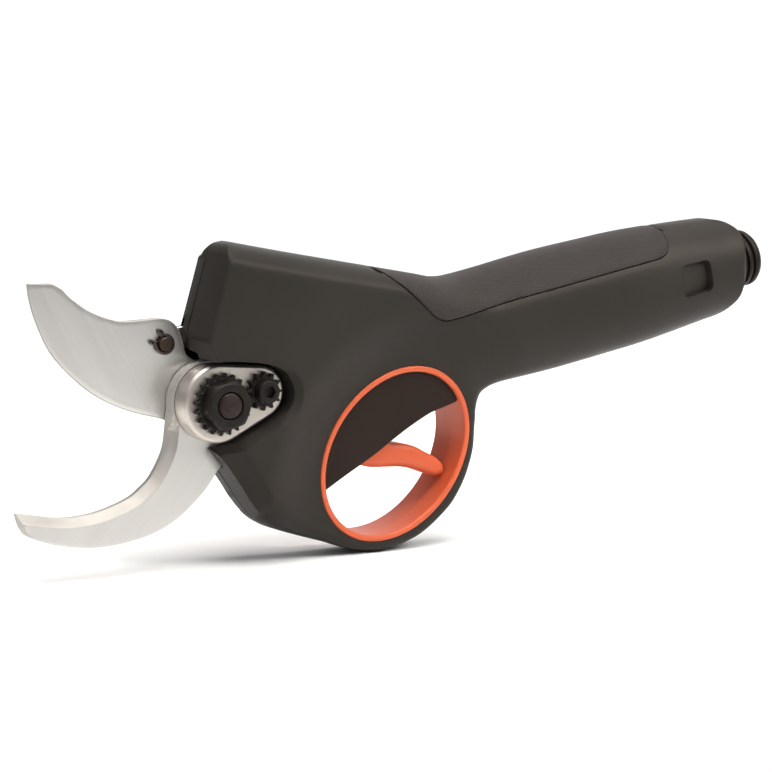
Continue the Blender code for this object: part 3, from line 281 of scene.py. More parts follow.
def slab(outline, holes, y0, y1, bm=None):
    """Prism over a flat outline with holes, from y0 to y1."""
    pts, edges = [], []
    for lp in [outline] + list(holes):
        k = len(pts)
        pts += lp
        edges += [(k + i, k + (i + 1) % len(lp)) for i in range(len(lp))]
    vs, es, fs, _, _, _ = delaunay_2d_cdt([Vector(p) for p in pts], edges, [], 0, 1e-6)
    V = np.array([tuple(v) for v in vs])
    F = np.array([f for f in fs if len(f) == 3])
    c = V[F].mean(axis=1)
    ok = inside(c, outline)
    for h in holes:
        ok &= ~inside(c, h)
    return field_mesh(V, F[ok], np.full(len(V), float(y1)), np.full(len(V), float(y0)), 1)


def stack(levels):
    """Stepped prism: levels are (y_start, y_end, outline, holes); consecutive levels share
    a plane, and each outline or hole is either the same as, or clear inside, its neighbour's."""
    bm = bmesh.new()
    table = {}

    def vert(x, y, z):
        k = (round(x, 4), round(y, 4), round(z, 4))
        if k not in table:
            table[k] = bm.verts.new((x, y, z))
        return table[k]

    for y0, y1, outline, holes in levels:
        for lp in [outline] + list(holes):
            for i in range(len(lp)):
                (xa, za), (xb, zb) = lp[i], lp[(i + 1) % len(lp)]
                bm.faces.new((vert(xa, y0, za), vert(xb, y0, zb), vert(xb, y1, zb), vert(xa, y1, za)))
    planes = [(levels[0][0], None, levels[0])]
    planes += [(a[1], a, b) for a, b in zip(levels[:-1], levels[1:])]
    planes.append((levels[-1][1], levels[-1], None))
    for y, la, lb in planes:
        seen, loops = set(), []
        for lv in (la, lb):
            if lv:
                for lp in [lv[2]] + list(lv[3]):
                    key = tuple((round(p[0], 4), round(p[1], 4)) for p in lp)
                    if key not in seen:
                        seen.add(key)
                        loops.append(lp)
        pts, edges = [], []
        for lp in loops:
            k = len(pts)
            pts += lp
            edges += [(k + i, k + (i + 1) % len(lp)) for i in range(len(lp))]
        vs, es, fs, _, _, _ = delaunay_2d_cdt([Vector(p) for p in pts], edges, [], 0, 1e-6)
        src = np.array(pts)
        V = np.array([src[((src - np.array(tuple(v))) ** 2).sum(1).argmin()] for v in vs])
        F = np.array([f for f in fs if len(f) == 3])
        c = V[F].mean(axis=1)

        def has(lv):
            if lv is None:
                return np.zeros(len(c), bool)
            ok = inside(c, lv[2])
            for h in lv[3]:
                ok &= ~inside(c, h)
            return ok
        for f in F[has(la) != has(lb)]:
            bm.faces.new([vert(V[i][0], y, V[i][1]) for i in f])
    return bm


def lathe(profile, n, start=(0, 0, 0), direction=(1, 0, 0), facets=None):
    """Turned solid: profile is (distance along the axis, radius); a closed loop when the
    first and last radii are equal and non-zero, otherwise both ends lie on the axis."""
    bm = bmesh.new()
    d = Vector(direction).normalized()
    side = Vector((0, 1, 0)) if abs(d.y) < 0.9 else Vector((1, 0, 0))
    e1 = d.cross(side).normalized()
    e2 = d.cross(e1).normalized()
    rows = []
    for s, r in profile:
        c = Vector(start) + d * s
        if r < 1e-6:
            rows.append([bm.verts.new(c)])
        else:
            rows.append([bm.verts.new(c + r * (math.cos(2 * math.pi * i / n) * e1
                                               + math.sin(2 * math.pi * i / n) * e2)) for i in range(n)])
    pairs = list(zip(rows[:-1], rows[1:]))
    if profile[0][1] > 1e-6:
        pairs.append((rows[-1], rows[0]))
    for a, b in pairs:
        for i in range(n):
            j = (i + 1) % n
            if len(a) == 1 and len(b) == 1:
                continue
            if len(a) == 1:
                bm.faces.new((a[0], b[i], b[j]))
            elif len(b) == 1:
                bm.faces.new((a[i], b[0], a[j]))
            else:
                bm.faces.new((a[i], b[i], b[j], a[j]))
    return bm


def rod(c, r, y0, y1, n=20, head=None):
    """Pin along Y from y0 to y1; head = (radius, thickness) sits beyond y1."""
    p = [(0, 0), (0, r), (y1 - y0, r)]
    if head:
        p += [(y1 - y0, head[0]), (y1 - y0 + head[1], head[0]), (y1 - y0 + head[1], 0)]
    else:
        p += [(y1 - y0, 0)]
    return lathe(p, n, start=(c[0], y0, c[1]), direction=(0, 1, 0))


def ring_bush(c, r0, r1, y0, y1, n=20):
    return slab(circle(c, r1, n), [circle(c, r0, n)], y0, y1)


def gear(c, teeth, module, phase, backlash=0.45, per=1):
    """Spur gear outline with straight-flanked teeth."""
    rp = teeth * module / 2
    ro, rr = rp + 0.72 * module, rp - 0.85 * module
    pitch = 2 * math.pi / teeth
    half = (math.pi * module / 2 - backlash) / 2 / rp
    out = []
    for k in range(teeth):
        a = phase + k * pitch
        for r, h in ((rr, half * 1.75), (rp, half), (ro, half * 0.52)):
            out.append((c[0] + r * math.cos(a - h), c[1] + r * math.sin(a - h)))
        for r, h in ((ro, half * 0.52), (rp, half), (rr, half * 1.75)):
            out.append((c[0] + r * math.cos(a + h), c[1] + r * math.sin(a + h)))
    return out


def regular(c, across, sides, a0=0.0):
    r = across / 2 / math.cos(math.pi / sides)
    return circle(c, r, sides, a0)


def hull2(c0, r0, c1, r1, n):
    """Outline of two circles wrapped by a band."""
    d = math.dist(c0, c1)
    a = math.degrees(math.atan2(c1[1] - c0[1], c1[0] - c0[0]))
    t = math.degrees(math.acos((r0 - r1) / d))
    return chain(arc(c0, r0, a + t, a + 360 - t, n), arc(c1, r1, a - t, a + t, n))


# ---------------------------------------------------------------- casing outline
TOP = [(-67.9, 55.9), (-44.4, 51.4), (-11.1, 45.4), (7.8, 42.0), (16.5, 40.3), (21.7, 39.8),
       (27.0, 40.1), (41.2, 43.0), (63.9, 47.9), (87.0, 51.8), (105.9, 54.7), (129.9, 57.1),
       (144.7, 58.3)]
REAR = [(144.7, 58.3), (150.4, 57.0), (154.4, 53.0), (156.4, 46.5), (156.8, 40.0), (156.2, 33.0),
        (154.0, 26.3), (149.6, 21.0), (143.6, 18.0)]
BOTTOM = [(143.6, 18.0), (116.0, 11.1), (93.0, 6.5), (70.7, 2.5), (48.7, -0.7), (42.5, -2.2)]
GUARD = [(42.5, -2.2), (38.0, -4.4), (35.2, -9.0), (34.3, -16.0), (33.6, -24.5), (31.0, -33.0),
         (27.4, -40.0), (22.0, -46.8), (11.2, -54.9), (0.6, -58.8), (-9.7, -60.0), (-19.9, -58.3),
         (-30.0, -54.9)]
BELLY = [(-30.0, -54.9), (-47.0, -49.6), (-54.0, -46.3), (-58.5, -42.5)]
LOW_FRONT = [(-58.5, -42.5), (-62.9, -37.0), (-66.5, -31.5), (-72.1, -23.5), (-77.3, -17.3)]
MOUTH_RIGHT = [(-77.3, -17.3), (-79.6, 0.0), (-81.2, 13.5), (-82.5, 22.8)]
NOTCH = [(-77.3, -17.3), (-71.0, -14.9), (-63.0, -11.1), (-56.5, -8.0), (-51.6, -4.9), (-49.0, -1.6),
         (-48.3, 2.4), (-49.6, 6.6), (-53.0, 10.3), (-59.5, 13.0), (-71.0, 14.5), (-81.0, 15.0)]
FRONT_LOW = [(-81.0, 15.0), (-82.5, 22.8)]
FRONT = [(-82.5, 22.8), (-78.7, 35.2), (-74.6, 49.0)]
FRONT_TOP = [(-74.6, 49.0), (-73.6, 52.8), (-71.4, 55.1), (-67.9, 55.9)]
PAD_EDGE = [(-11.0, 45.4), (-5.5, 40.5), (1.8, 34.2), (8.9, 28.4), (12.0, 26.2), (15.4, 24.9),
            (19.7, 25.1), (41.7, 30.3), (68.8, 35.6), (100.0, 41.7), (110.5, 43.7), (114.6, 44.7),
            (117.2, 46.3), (118.5, 48.6), (119.1, 51.4), (119.4, 54.0), (119.6, 56.12)]
PANEL_EDGE = [(-33.5, -37.2), (-23.1, -31.2), (-15.8, -27.2), (-9.1, -23.4), (-2.4, -19.1),
              (5.5, -14.4), (13.8, -10.2), (19.4, -8.4), (24.5, -6.8), (30.0, -5.0)]


def ring_out(v):
    """Distance outside the finger ring's rim, about, in mm (negative inside)."""
    t = math.radians(RING_TILT)
    x, z = v[:, 0] - RING_C[0], v[:, 1] - RING_C[1]
    p, q = x * math.cos(t) + z * math.sin(t), -x * math.sin(t) + z * math.cos(t)
    return (np.hypot(p / RING_A, q / RING_B) - 1) * (RING_A + RING_B) / 2


def above(v, path):
    """True where a point lies above a path that runs in +X."""
    P = np.array(path)
    return v[:, 1] > np.interp(v[:, 0], P[:, 0], P[:, 1])


def casing_depth(v, step, left=True, inset=0.0):
    """Depth of the casing's outer surface below or above the parting plane.
    `inset` moves the surface inwards by that much, as under the grip pad."""
    side = np.minimum(dist(v, spline(TOP, step)), dist(v, spline(BOTTOM, step)))
    side = np.minimum(side, np.minimum(dist(v, spline(GUARD, step)), dist(v, spline(BELLY, step))))
    side = np.minimum(side, np.minimum(dist(v, [TOP[0], (-82.0, 58.6)]), dist(v, spline([(144.7, 58.3), (175, 62.5)], step))))
    side = np.minimum(side, dist(v, spline([(143.6, 18.0), (175, 25.0)], step)))
    x, z = v[:, 0], v[:, 1]
    handle = sstep(0, 42, x) * sstep(-10, 8, z)
    guard = sstep(0, -14, z) * sstep(-48, -26, x)
    R = (9.0 + 11.0 * handle) * (1 - guard) + 4.0 * guard
    h0 = (3.5 - 2.7 * handle) * (1 - guard) + 5.6 * guard
    bump = 1.7 * np.exp(-((x + 60) / 30) ** 2 - ((z - 3) / 26) ** 2)
    H = HEAD_H + (HANDLE_H - HEAD_H) * sstep(-10, 45, x) + bump
    e = ring_out(v)
    H = 10.1 + (H - 10.1) * sstep(-1.0, 27.0, e)
    if inset:
        base = np.sqrt(np.maximum((R - inset) ** 2 - (R - np.minimum(side, R)) ** 2, 0)) / (R - inset)
        h = h0 + (H - inset - h0) * base
    else:
        h = h0 + (H - h0) * quarter(side / R)
    rear = dist(v, spline(REAR, step))
    h = np.minimum(h, 12.4 + (HANDLE_H - 12.4) * quarter(rear / 5.0) + 2.0 * (rear > 5))
    front = np.minimum(dist(v, spline(FRONT, step)), dist(v, spline(FRONT_TOP[:3], step)))
    front = np.minimum(front, dist(v, [FRONT_LOW[0], FRONT_LOW[1]]))
    h = np.minimum(h, 15.4 + 1.4 * np.minimum(front, 9))
    h = np.minimum(h, 11.6 + 1.15 * np.minimum(dist(v, spline(LOW_FRONT, step)), 12))
    if left:
        h = np.minimum(h, 17.2 + 1.0 * np.minimum(dist(v, spline(NOTCH, step)), 9))
    else:
        h = np.minimum(h, 15.0 + 1.4 * np.minimum(dist(v, spline(MOUTH_RIGHT, step)), 9))
    return h


TRIGGER = [(1.6, -21.0), (5.0, -21.3), (10.0, -22.7), (14.2, -24.9), (18.0, -26.8), (21.2, -29.2),
           (22.5, -31.5), (22.0, -33.9), (19.0, -34.4), (15.4, -33.3), (11.2, -31.8), (7.7, -30.7),
           (3.0, -29.9), (-2.5, -29.6), (-9.0, -29.2), (-15.0, -27.4), (-20.0, -24.4), (-21.4, -20.5),
           (-19.5, -16.6), (-15.5, -14.4), (-11.0, -14.9), (-6.0, -17.6), (-1.5, -20.2)]
MAGNET = (-5.0, -23.6)

BLADE_BACK = [(-143.0, 43.4), (-133.6, 43.1), (-129.8, 40.9), (-126.3, 37.6), (-119.0, 32.7),
              (-110.7, 29.6), (-106.0, 28.8), (-97.0, 29.1), (-92.0, 29.3), (-88.2, 28.2), (-85.4, 25.4),
              (-83.8, 21.0), (-82.2, 16.0), (-78.5, 13.4)]
BLADE_EDGE = [(-85.6, -11.0), (-88.6, -8.6), (-92.1, -6.4), (-101.8, -3.8), (-111.1, -0.3), (-120.2, 4.9),
              (-129.1, 12.7), (-135.4, 20.3), (-140.1, 30.5), (-142.3, 38.0), (-143.0, 43.4)]


HOOK_OUTER = [(-149.6, -37.4), (-148.9, -40.0), (-146.8, -42.4), (-143.5, -44.2), (-136.3, -46.6),
              (-127.3, -48.3), (-118.2, -48.9), (-108.9, -48.0), (-99.6, -46.0), (-90.1, -41.8),
              (-80.5, -34.3), (-76.0, -29.2), (-71.2, -23.4), (-65.5, -23.5)]
HOOK_TANG = [(-65.5, -23.5), (-57.0, -26.0), (-50.5, -25.2), (-47.6, -20.5), (-47.6, -12.0), (-51.5, -7.4),
             (-58.0, -5.6), (-62.3, -5.6)]
HOOK_INNER = [(-91.0, -4.0), (-91.6, -10.0), (-93.0, -17.4), (-97.7, -25.9), (-102.4, -30.3), (-107.0, -33.3),
              (-116.2, -36.5), (-125.4, -38.0), (-134.5, -37.8), (-143.4, -36.1), (-148.4, -35.4),
              (-149.6, -37.4)]
PINION = polar(PIVOT, GEAR_MODULE * (NUT_TEETH + PINION_TEETH) / 2, PINION_ANGLE)
PLATE_END = ((-60.5, 2.6), 9.6)


# ---------------------------------------------------------------- node materials
def w(x, y, z):
    return Vector(((x + DATUM[0]) / 1000, (y + DATUM[1]) / 1000, (z + DATUM[2]) / 1000))


def new_mat(name):
    m = bpy.data.materials.new(name)
    m.use_nodes = True
    nt = m.node_tree
    return m, nt, nt.nodes["Principled BSDF"]


def add(nt, kind, **kw):
    n = nt.nodes.new(kind)
    for k, v in kw.items():
        if k in n.inputs:
            n.inputs[k].default_value = v
        else:
            setattr(n, k, v)
    return n


def ramp(nt, fac, stops):
    r = nt.nodes.new("ShaderNodeValToRGB")
    e = r.color_ramp.elements
    e[0].position, e[0].color = stops[0][0], (*stops[0][1], 1)
    e[1].position, e[1].color = stops[-1][0], (*stops[-1][1], 1)
    for p, c in stops[1:-1]:
        k = e.new(p)
        k.color = (*c, 1)
    nt.links.new(fac, r.inputs["Fac"])
    return r.outputs["Color"]


def remap(nt, v, a, b, c, d):
    m = add(nt, "ShaderNodeMapRange")
    m.inputs["From Min"].default_value = a
    m.inputs["From Max"].default_value = b
    m.inputs["To Min"].default_value = c
    m.inputs["To Max"].default_value = d
    nt.links.new(v, m.inputs["Value"])
    return m.outputs["Result"]


def noise(nt, vec, scale, detail=4.0, rough=0.5):
    n = add(nt, "ShaderNodeTexNoise")
    n.inputs["Scale"].default_value = scale
    n.inputs["Detail"].default_value = detail
    n.inputs["Roughness"].default_value = rough
    nt.links.new(vec, n.inputs["Vector"])
    return n.outputs["Fac"]


def mapped(nt, rot=(0, 0, 0), scale=(1, 1, 1)):
    tc = add(nt, "ShaderNodeTexCoord")
    mp = add(nt, "ShaderNodeMapping")
    mp.inputs["Rotation"].default_value = rot
    mp.inputs["Scale"].default_value = scale
    nt.links.new(tc.outputs["Object"], mp.inputs["Vector"])
    return mp.outputs["Vector"]


def bump(nt, bsdf, height, dist_mm, strength=1.0, prev=None):
    b = add(nt, "ShaderNodeBump")
    b.inputs["Strength"].default_value = strength
    b.inputs["Distance"].default_value = dist_mm / 1000
    nt.links.new(height, b.inputs["Height"])
    if prev is not None:
        nt.links.new(prev, b.inputs["Normal"])
    nt.links.new(b.outputs["Normal"], bsdf.inputs["Normal"])
    return b.outputs["Normal"]


def plastic(name, dark, light, rough, grain_mm=0.45, grain=0.035, spec=0.5, blotch=18.0, coat=0.0):
    """Moulded polymer: slow colour drift, spark-eroded grain, roughness that varies."""
    m, nt, b = new_mat(name)
    v = mapped(nt)
    drift = noise(nt, v, blotch, 3.0)
    fine = noise(nt, v, 1000 / grain_mm / 2.2, 2.0, 0.6)
    nt.links.new(ramp(nt, drift, [(0.3, dark), (0.7, light)]), b.inputs["Base Color"])
    mix = add(nt, "ShaderNodeMath", operation="ADD")
    nt.links.new(remap(nt, drift, 0.3, 0.7, rough - 0.03, rough + 0.03), mix.inputs[0])
    nt.links.new(remap(nt, fine, 0.3, 0.7, -0.03, 0.03), mix.inputs[1])
    nt.links.new(mix.outputs[0], b.inputs["Roughness"])
    b.inputs["Specular IOR Level"].default_value = spec
    b.inputs["Specular Tint"].default_value = (1.0, 0.88, 0.79, 1.0)
    if coat:
        b.inputs["Coat Weight"].default_value = coat
        b.inputs["Coat Roughness"].default_value = 0.3
    bump(nt, b, fine, grain, 0.8)
    return m


def rubber_grip():
    """Rubber pad: rows of small raised pips on a diagonal grid, with the pip tops painted lighter and the hollows
    between them painted darker as painted highlight and painted shade.
    """
    m, nt, b = new_mat("grip_rubber")
    pitch = 0.92
    v = mapped(nt, rot=(math.radians(32), math.radians(38), 0), scale=(1, 1, 1.12))
    s = add(nt, "ShaderNodeSeparateXYZ")
    nt.links.new(v, s.inputs[0])
    outs = []
    for k in (0, 2):
        mul = add(nt, "ShaderNodeMath", operation="MULTIPLY")
        mul.inputs[1].default_value = 2 * math.pi * 1000 / pitch
        nt.links.new(s.outputs[k], mul.inputs[0])
        sn = add(nt, "ShaderNodeMath", operation="SINE")
        nt.links.new(mul.outputs[0], sn.inputs[0])
        outs.append(sn.outputs[0])
    pr = add(nt, "ShaderNodeMath", operation="MULTIPLY")
    nt.links.new(outs[0], pr.inputs[0])
    nt.links.new(outs[1], pr.inputs[1])
    pips = remap(nt, pr.outputs[0], -0.5, 0.7, 0.0, 1.0)
    wear = noise(nt, mapped(nt), 60.0, 4.0)
    fine = noise(nt, mapped(nt), 2600.0, 2.0)
    base = ramp(nt, wear, [(0.3, (0.0215, 0.0152, 0.0128)), (0.7, (0.0300, 0.0216, 0.0184))])
    # painted highlight and painted shade: the pip pattern multiplies the rubber colour, lighter on the pip tops and
    # darker in the hollows
    dark = add(nt, "ShaderNodeMix", data_type="RGBA", blend_type="MULTIPLY")
    dark.inputs[0].default_value = 1.0
    nt.links.new(base, dark.inputs[6])
    nt.links.new(ramp(nt, pips, [(0.0, (0.36, 0.36, 0.36)), (1.0, (1.55, 1.55, 1.55))]), dark.inputs[7])
    nt.links.new(dark.outputs[2], b.inputs["Base Color"])
    nt.links.new(remap(nt, wear, 0.3, 0.7, 0.52, 0.64), b.inputs["Roughness"])
    b.inputs["Specular IOR Level"].default_value = 0.30
    b.inputs["Sheen Weight"].default_value = 0.08
    n1 = bump(nt, b, pips, 0.34, 0.9)
    bump(nt, b, fine, 0.03, 0.5, n1)
    return m


def ground_steel(name, rot, color=(0.62, 0.61, 0.59), rough=0.30, fine=0.012, streak=900.0, squash=0.04, blotch=0.05):
    """Surface-ground steel: fine parallel marks along one direction."""
    m, nt, b = new_mat(name)
    turned = mapped(nt, rot=rot)
    stretch = add(nt, "ShaderNodeMapping")
    stretch.inputs["Scale"].default_value = (squash, 1, 1)
    nt.links.new(turned, stretch.inputs["Vector"])
    v = stretch.outputs["Vector"]
    marks = noise(nt, v, streak, 5.0, 0.62)
    wide = noise(nt, v, streak / 9, 3.0, 0.5)
    cloud = noise(nt, mapped(nt), 30.0, 3.0)
    lo = tuple(c * (1 - blotch * 2.0) for c in color)
    hi = tuple(min(1, c * (1 + blotch)) for c in color)
    mx = add(nt, "ShaderNodeMath", operation="MULTIPLY_ADD")
    mx.inputs[1].default_value = 0.5
    nt.links.new(marks, mx.inputs[0])
    nt.links.new(remap(nt, wide, 0.3, 0.7, 0.1, 0.4), mx.inputs[2])
    nt.links.new(ramp(nt, mx.outputs[0], [(0.25, lo), (0.75, hi)]), b.inputs["Base Color"])
    b.inputs["Metallic"].default_value = 1.0
    r = add(nt, "ShaderNodeMath", operation="ADD")
    nt.links.new(remap(nt, marks, 0.3, 0.7, rough - 0.05, rough + 0.05), r.inputs[0])
    nt.links.new(remap(nt, cloud, 0.3, 0.7, -0.03, 0.04), r.inputs[1])
    nt.links.new(r.outputs[0], b.inputs["Roughness"])
    b.inputs["Anisotropic"].default_value = 0.35
    bump(nt, b, marks, fine, 0.7)
    return m


def dark_metal(name, color=(0.035, 0.030, 0.029), rough=0.36, metal=0.75, grain=0.02, edge=(0.09, 0.08, 0.075), spec=0.5):
    """Black-oxide steel with a mottled film."""
    m, nt, b = new_mat(name)
    v = mapped(nt)
    mott = noise(nt, v, 420.0, 5.0, 0.6)
    fine = noise(nt, v, 2200.0, 3.0)
    nt.links.new(ramp(nt, mott, [(0.30, color), (0.62, tuple(c * 1.25 for c in color)), (0.80, edge)]),
                 b.inputs["Base Color"])
    b.inputs["Metallic"].default_value = metal
    b.inputs["Specular IOR Level"].default_value = spec
    nt.links.new(remap(nt, mott, 0.3, 0.7, rough - 0.08, rough + 0.10), b.inputs["Roughness"])
    bump(nt, b, fine, grain, 0.6)
    return m


CASING = plastic("casing_plastic", (0.0250, 0.0226, 0.0202), (0.0305, 0.0276, 0.0247), 0.42, grain_mm=0.5, grain=0.03, spec=0.11)
PANEL = plastic("cover_plastic", (0.0180, 0.0127, 0.0106), (0.0225, 0.0160, 0.0136), 0.52, grain_mm=0.5, grain=0.03, spec=0.10)
ORANGE = plastic("orange_plastic", (0.54, 0.089, 0.0290), (0.60, 0.104, 0.0360), 0.42, grain_mm=0.6, grain=0.02, blotch=30)
TRIG = plastic("trigger_plastic", (0.53, 0.083, 0.027), (0.59, 0.098, 0.034), 0.48, grain_mm=0.4, grain=0.05, blotch=40)
CONN = plastic("connector_plastic", (0.0095, 0.0078, 0.0068), (0.0130, 0.0108, 0.0095), 0.46, grain_mm=0.4, grain=0.03, spec=0.16)
SEAL = plastic("seal_rubber", (0.016, 0.016, 0.016), (0.024, 0.023, 0.022), 0.7, grain_mm=0.4, grain=0.03)
GRIP = rubber_grip()
BLADE = ground_steel("blade_steel", (0, math.radians(-62), 0), (0.76, 0.75, 0.725), 0.34)
HOOK = ground_steel("hook_steel", (0, math.radians(52), 0), (0.62, 0.61, 0.59), 0.36)
PLATE = ground_steel("plate_steel", (0, math.radians(10), 0), (0.62, 0.575, 0.525), 0.42, fine=0.01, streak=1400, squash=0.5, blotch=0.03)
EDGE = ground_steel("ground_edge", (math.radians(90), 0, 0), (0.54, 0.52, 0.49), 0.70, streak=1500, squash=1.0)
BLACK = dark_metal("black_oxide", (0.0100, 0.0080, 0.0068), 0.42, 0.05, edge=(0.026, 0.021, 0.018), spec=0.20)
BOLT = dark_metal("bolt_oxide", (0.019, 0.0132, 0.0115), 0.44, 0.2, spec=0.25)
PIN = dark_metal("pin_steel", (0.045, 0.030, 0.022), 0.40, 0.7, edge=(0.16, 0.10, 0.06))
CLIP = dark_metal("clip_steel", (0.075, 0.062, 0.055), 0.30, 0.9, edge=(0.25, 0.21, 0.19))
STEEL = ground_steel("turned_steel", (0, 0, 0), (0.48, 0.48, 0.49), 0.32, streak=1600, squash=1.0)
COPPER = dark_metal("motor_can", (0.20, 0.20, 0.21), 0.35, 0.9, edge=(0.32, 0.32, 0.33))


def board_mat():
    m, nt, b = new_mat("circuit_board")
    v = mapped(nt)
    g = add(nt, "ShaderNodeTexVoronoi", feature="F1", distance="CHEBYCHEV")
    g.inputs["Scale"].default_value = 260.0
    nt.links.new(v, g.inputs["Vector"])
    nt.links.new(ramp(nt, g.outputs["Distance"], [(0.0, (0.30, 0.22, 0.05)), (0.12, (0.010, 0.10, 0.035)), (1.0, (0.015, 0.14, 0.05))]),
                 b.inputs["Base Color"])
    nt.links.new(remap(nt, noise(nt, v, 300.0), 0.3, 0.7, 0.35, 0.5), b.inputs["Roughness"])
    bump(nt, b, g.outputs["Distance"], 0.05, 0.5)
    return m


BOARD = board_mat()


# ---------------------------------------------------------------- making pieces
def piece(name, bm, mat, body, node=None, smooth=30, bevel=0.0, segs=2, angle=35, dissolve=False):
    if dissolve:
        bmesh.ops.dissolve_limit(bm, angle_limit=math.radians(0.4), verts=bm.verts, edges=bm.edges)
    bmesh.ops.recalc_face_normals(bm, faces=bm.faces)
    if bm.calc_volume(signed=True) < 0:
        bmesh.ops.reverse_faces(bm, faces=bm.faces)
    for v in bm.verts:
        v.co = w(*v.co)
    me = bpy.data.meshes.new(name)
    bm.to_mesh(me)
    bm.free()
    me.shade_smooth()
    me.set_sharp_from_angle(angle=math.radians(smooth))
    ob = bpy.data.objects.new(name, me)
    bpy.context.scene.collection.objects.link(ob)
    me.materials.append(mat)
    if bevel:
        b = ob.modifiers.new("edges", "BEVEL")
        b.width = bevel / 1000
        b.segments = segs
        b.limit_method = "ANGLE"
        b.angle_limit = math.radians(angle)
        b.use_clamp_overlap = True
        b.harden_normals = False
    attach(ob, body)
    if node:
        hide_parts(*(node if isinstance(node, (list, tuple)) else [node]))
    return ob


# ---------------------------------------------------------------- the casing's fine surface
def smin(a, b, k):
    """Lower of two depths with the crease between them rounded over about k mm."""
    t = np.clip(0.5 + 0.5 * (b - a) / k, 0, 1)
    return b + (a - b) * t - k * t * (1 - t)


def skin(v, left=True, inset=0.0):
    """Casing surface as casing_depth gives it, with rounded creases and the front edge rounded off."""
    step = 2.0
    side = np.minimum(dist(v, spline(TOP, step)), dist(v, spline(BOTTOM, step)))
    side = np.minimum(side, np.minimum(dist(v, spline(GUARD, step)), dist(v, spline(BELLY, step))))
    side = np.minimum(side, np.minimum(dist(v, [TOP[0], (-82.0, 58.6)]), dist(v, spline([(144.7, 58.3), (175, 62.5)], step))))
    side = np.minimum(side, dist(v, spline([(143.6, 18.0), (175, 25.0)], step)))
    x, z = v[:, 0], v[:, 1]
    handle = sstep(0, 42, x) * sstep(-10, 8, z)
    guard = sstep(0, -14, z) * sstep(-48, -26, x)
    R = (9.0 + 11.0 * handle) * (1 - guard) + 4.0 * guard
    h0 = (3.5 - 2.7 * handle) * (1 - guard) + 5.6 * guard
    swell = 1.7 * np.exp(-((x + 60) / 30) ** 2 - ((z - 3) / 26) ** 2)
    H = HEAD_H + (HANDLE_H - HEAD_H) * sstep(-10, 45, x) + swell
    e = ring_out(v)
    H = 10.1 + (H - 10.1) * sstep(-1.0, 27.0, e)
    if inset:
        base = np.sqrt(np.maximum((R - inset) ** 2 - (R - np.minimum(side, R)) ** 2, 0)) / (R - inset)
        h = h0 + (H - inset - h0) * base
    else:
        h = h0 + (H - h0) * quarter(side / R)
    rear = dist(v, spline(REAR, step))
    h = smin(h, 12.4 + (HANDLE_H - 12.4) * quarter(rear / 5.0) + 2.0 * (rear > 5), 0.05)
    front = dist(v, spline(FRONT + [(-71.2, 60.0)], step))
    front = np.minimum(front, dist(v, [(-83.5, 14.0), FRONT_LOW[1]]))
    front = np.minimum(front, dist(v, spline(FRONT_TOP, 1.0)))
    if left:
        h = h - 1.3 * (1 - quarter(front / 1.3)) * sstep(56, 51, z)
    else:
        h = smin(h, 6.0 + 1.75 * np.minimum(front, 12), 0.35)
    low = dist(v, spline(LOW_FRONT, step))
    h = smin(h, (11.8 if left else 5.6) + (1.15 if left else 1.75) * np.minimum(low, 12), 1.0)
    if left:
        n = dist(v, spline(NOTCH, step))
        drop = (0.5 + 1.7 * sstep(12, 7, z)) + 2.3 * sstep(-50, -57, x) * sstep(0, -6, z)
        h = h - drop * (1 - np.clip(n / 2.65, 0, 1)) * (z < 16)
    else:
        corner = 0.5 + 3.4 * sstep(56.0, 50.5, z) + 1.6 * dist(v, spline(FRONT_TOP, 1.0))
        h = np.where(z > 50.3, np.minimum(h, corner), h)
        h = smin(h, 15.0 + 1.4 * np.minimum(dist(v, spline(MOUTH_RIGHT, step)), 9), 0.4)
    return h


def round_poly(P, r, n=5):
    """Closed polygon with its corners rounded to radius r."""
    out = []
    m = len(P)
    for i in range(m):
        a, b, c = (np.array(P[(i + k) % m], float) for k in (-1, 0, 1))
        u, v = (a - b) / np.linalg.norm(a - b), (c - b) / np.linalg.norm(c - b)
        half = math.acos(np.clip(u @ v, -1, 1)) / 2
        t = r / math.tan(half)
        p, q = b + u * t, b + v * t
        cen = b + (u + v) / np.linalg.norm(u + v) * r / math.sin(half)
        a0 = math.atan2(p[1] - cen[1], p[0] - cen[0])
        a1 = math.atan2(q[1] - cen[1], q[0] - cen[0])
        d = (a1 - a0 + math.pi) % (2 * math.pi) - math.pi
        out += [(cen[0] + r * math.cos(a0 + d * k / n), cen[1] + r * math.sin(a0 + d * k / n)) for k in range(n + 1)]
    return out


POCKET = [(122.6, 41.0), (136.4, 43.4), (139.0, 31.0), (125.0, 28.2)]
SCREWS = [(-63.5, 44.5), (-28.0, 41.0), (-50.5, -39.0), (-39.5, -22.0), (50.0, 8.6), (101.0, 13.6),
          (137.5, 51.3)]
TANG_SCREWS = [(-52.5, -12.5), (-53.5, -20.8)]
FINE = 1.5
XA, XB = PAD_EDGE[0][0], PAD_EDGE[-1][0]


def dense(P, longest):
    """Closed polygon with its long sides divided."""
    out = []
    for a, b in zip(P, list(P[1:]) + [P[0]]):
        n = max(1, int(math.ceil(math.dist(a, b) / longest)))
        out += [(a[0] + (b[0] - a[0]) * k / n, a[1] + (b[1] - a[1]) * k / n) for k in range(n)]
    return out


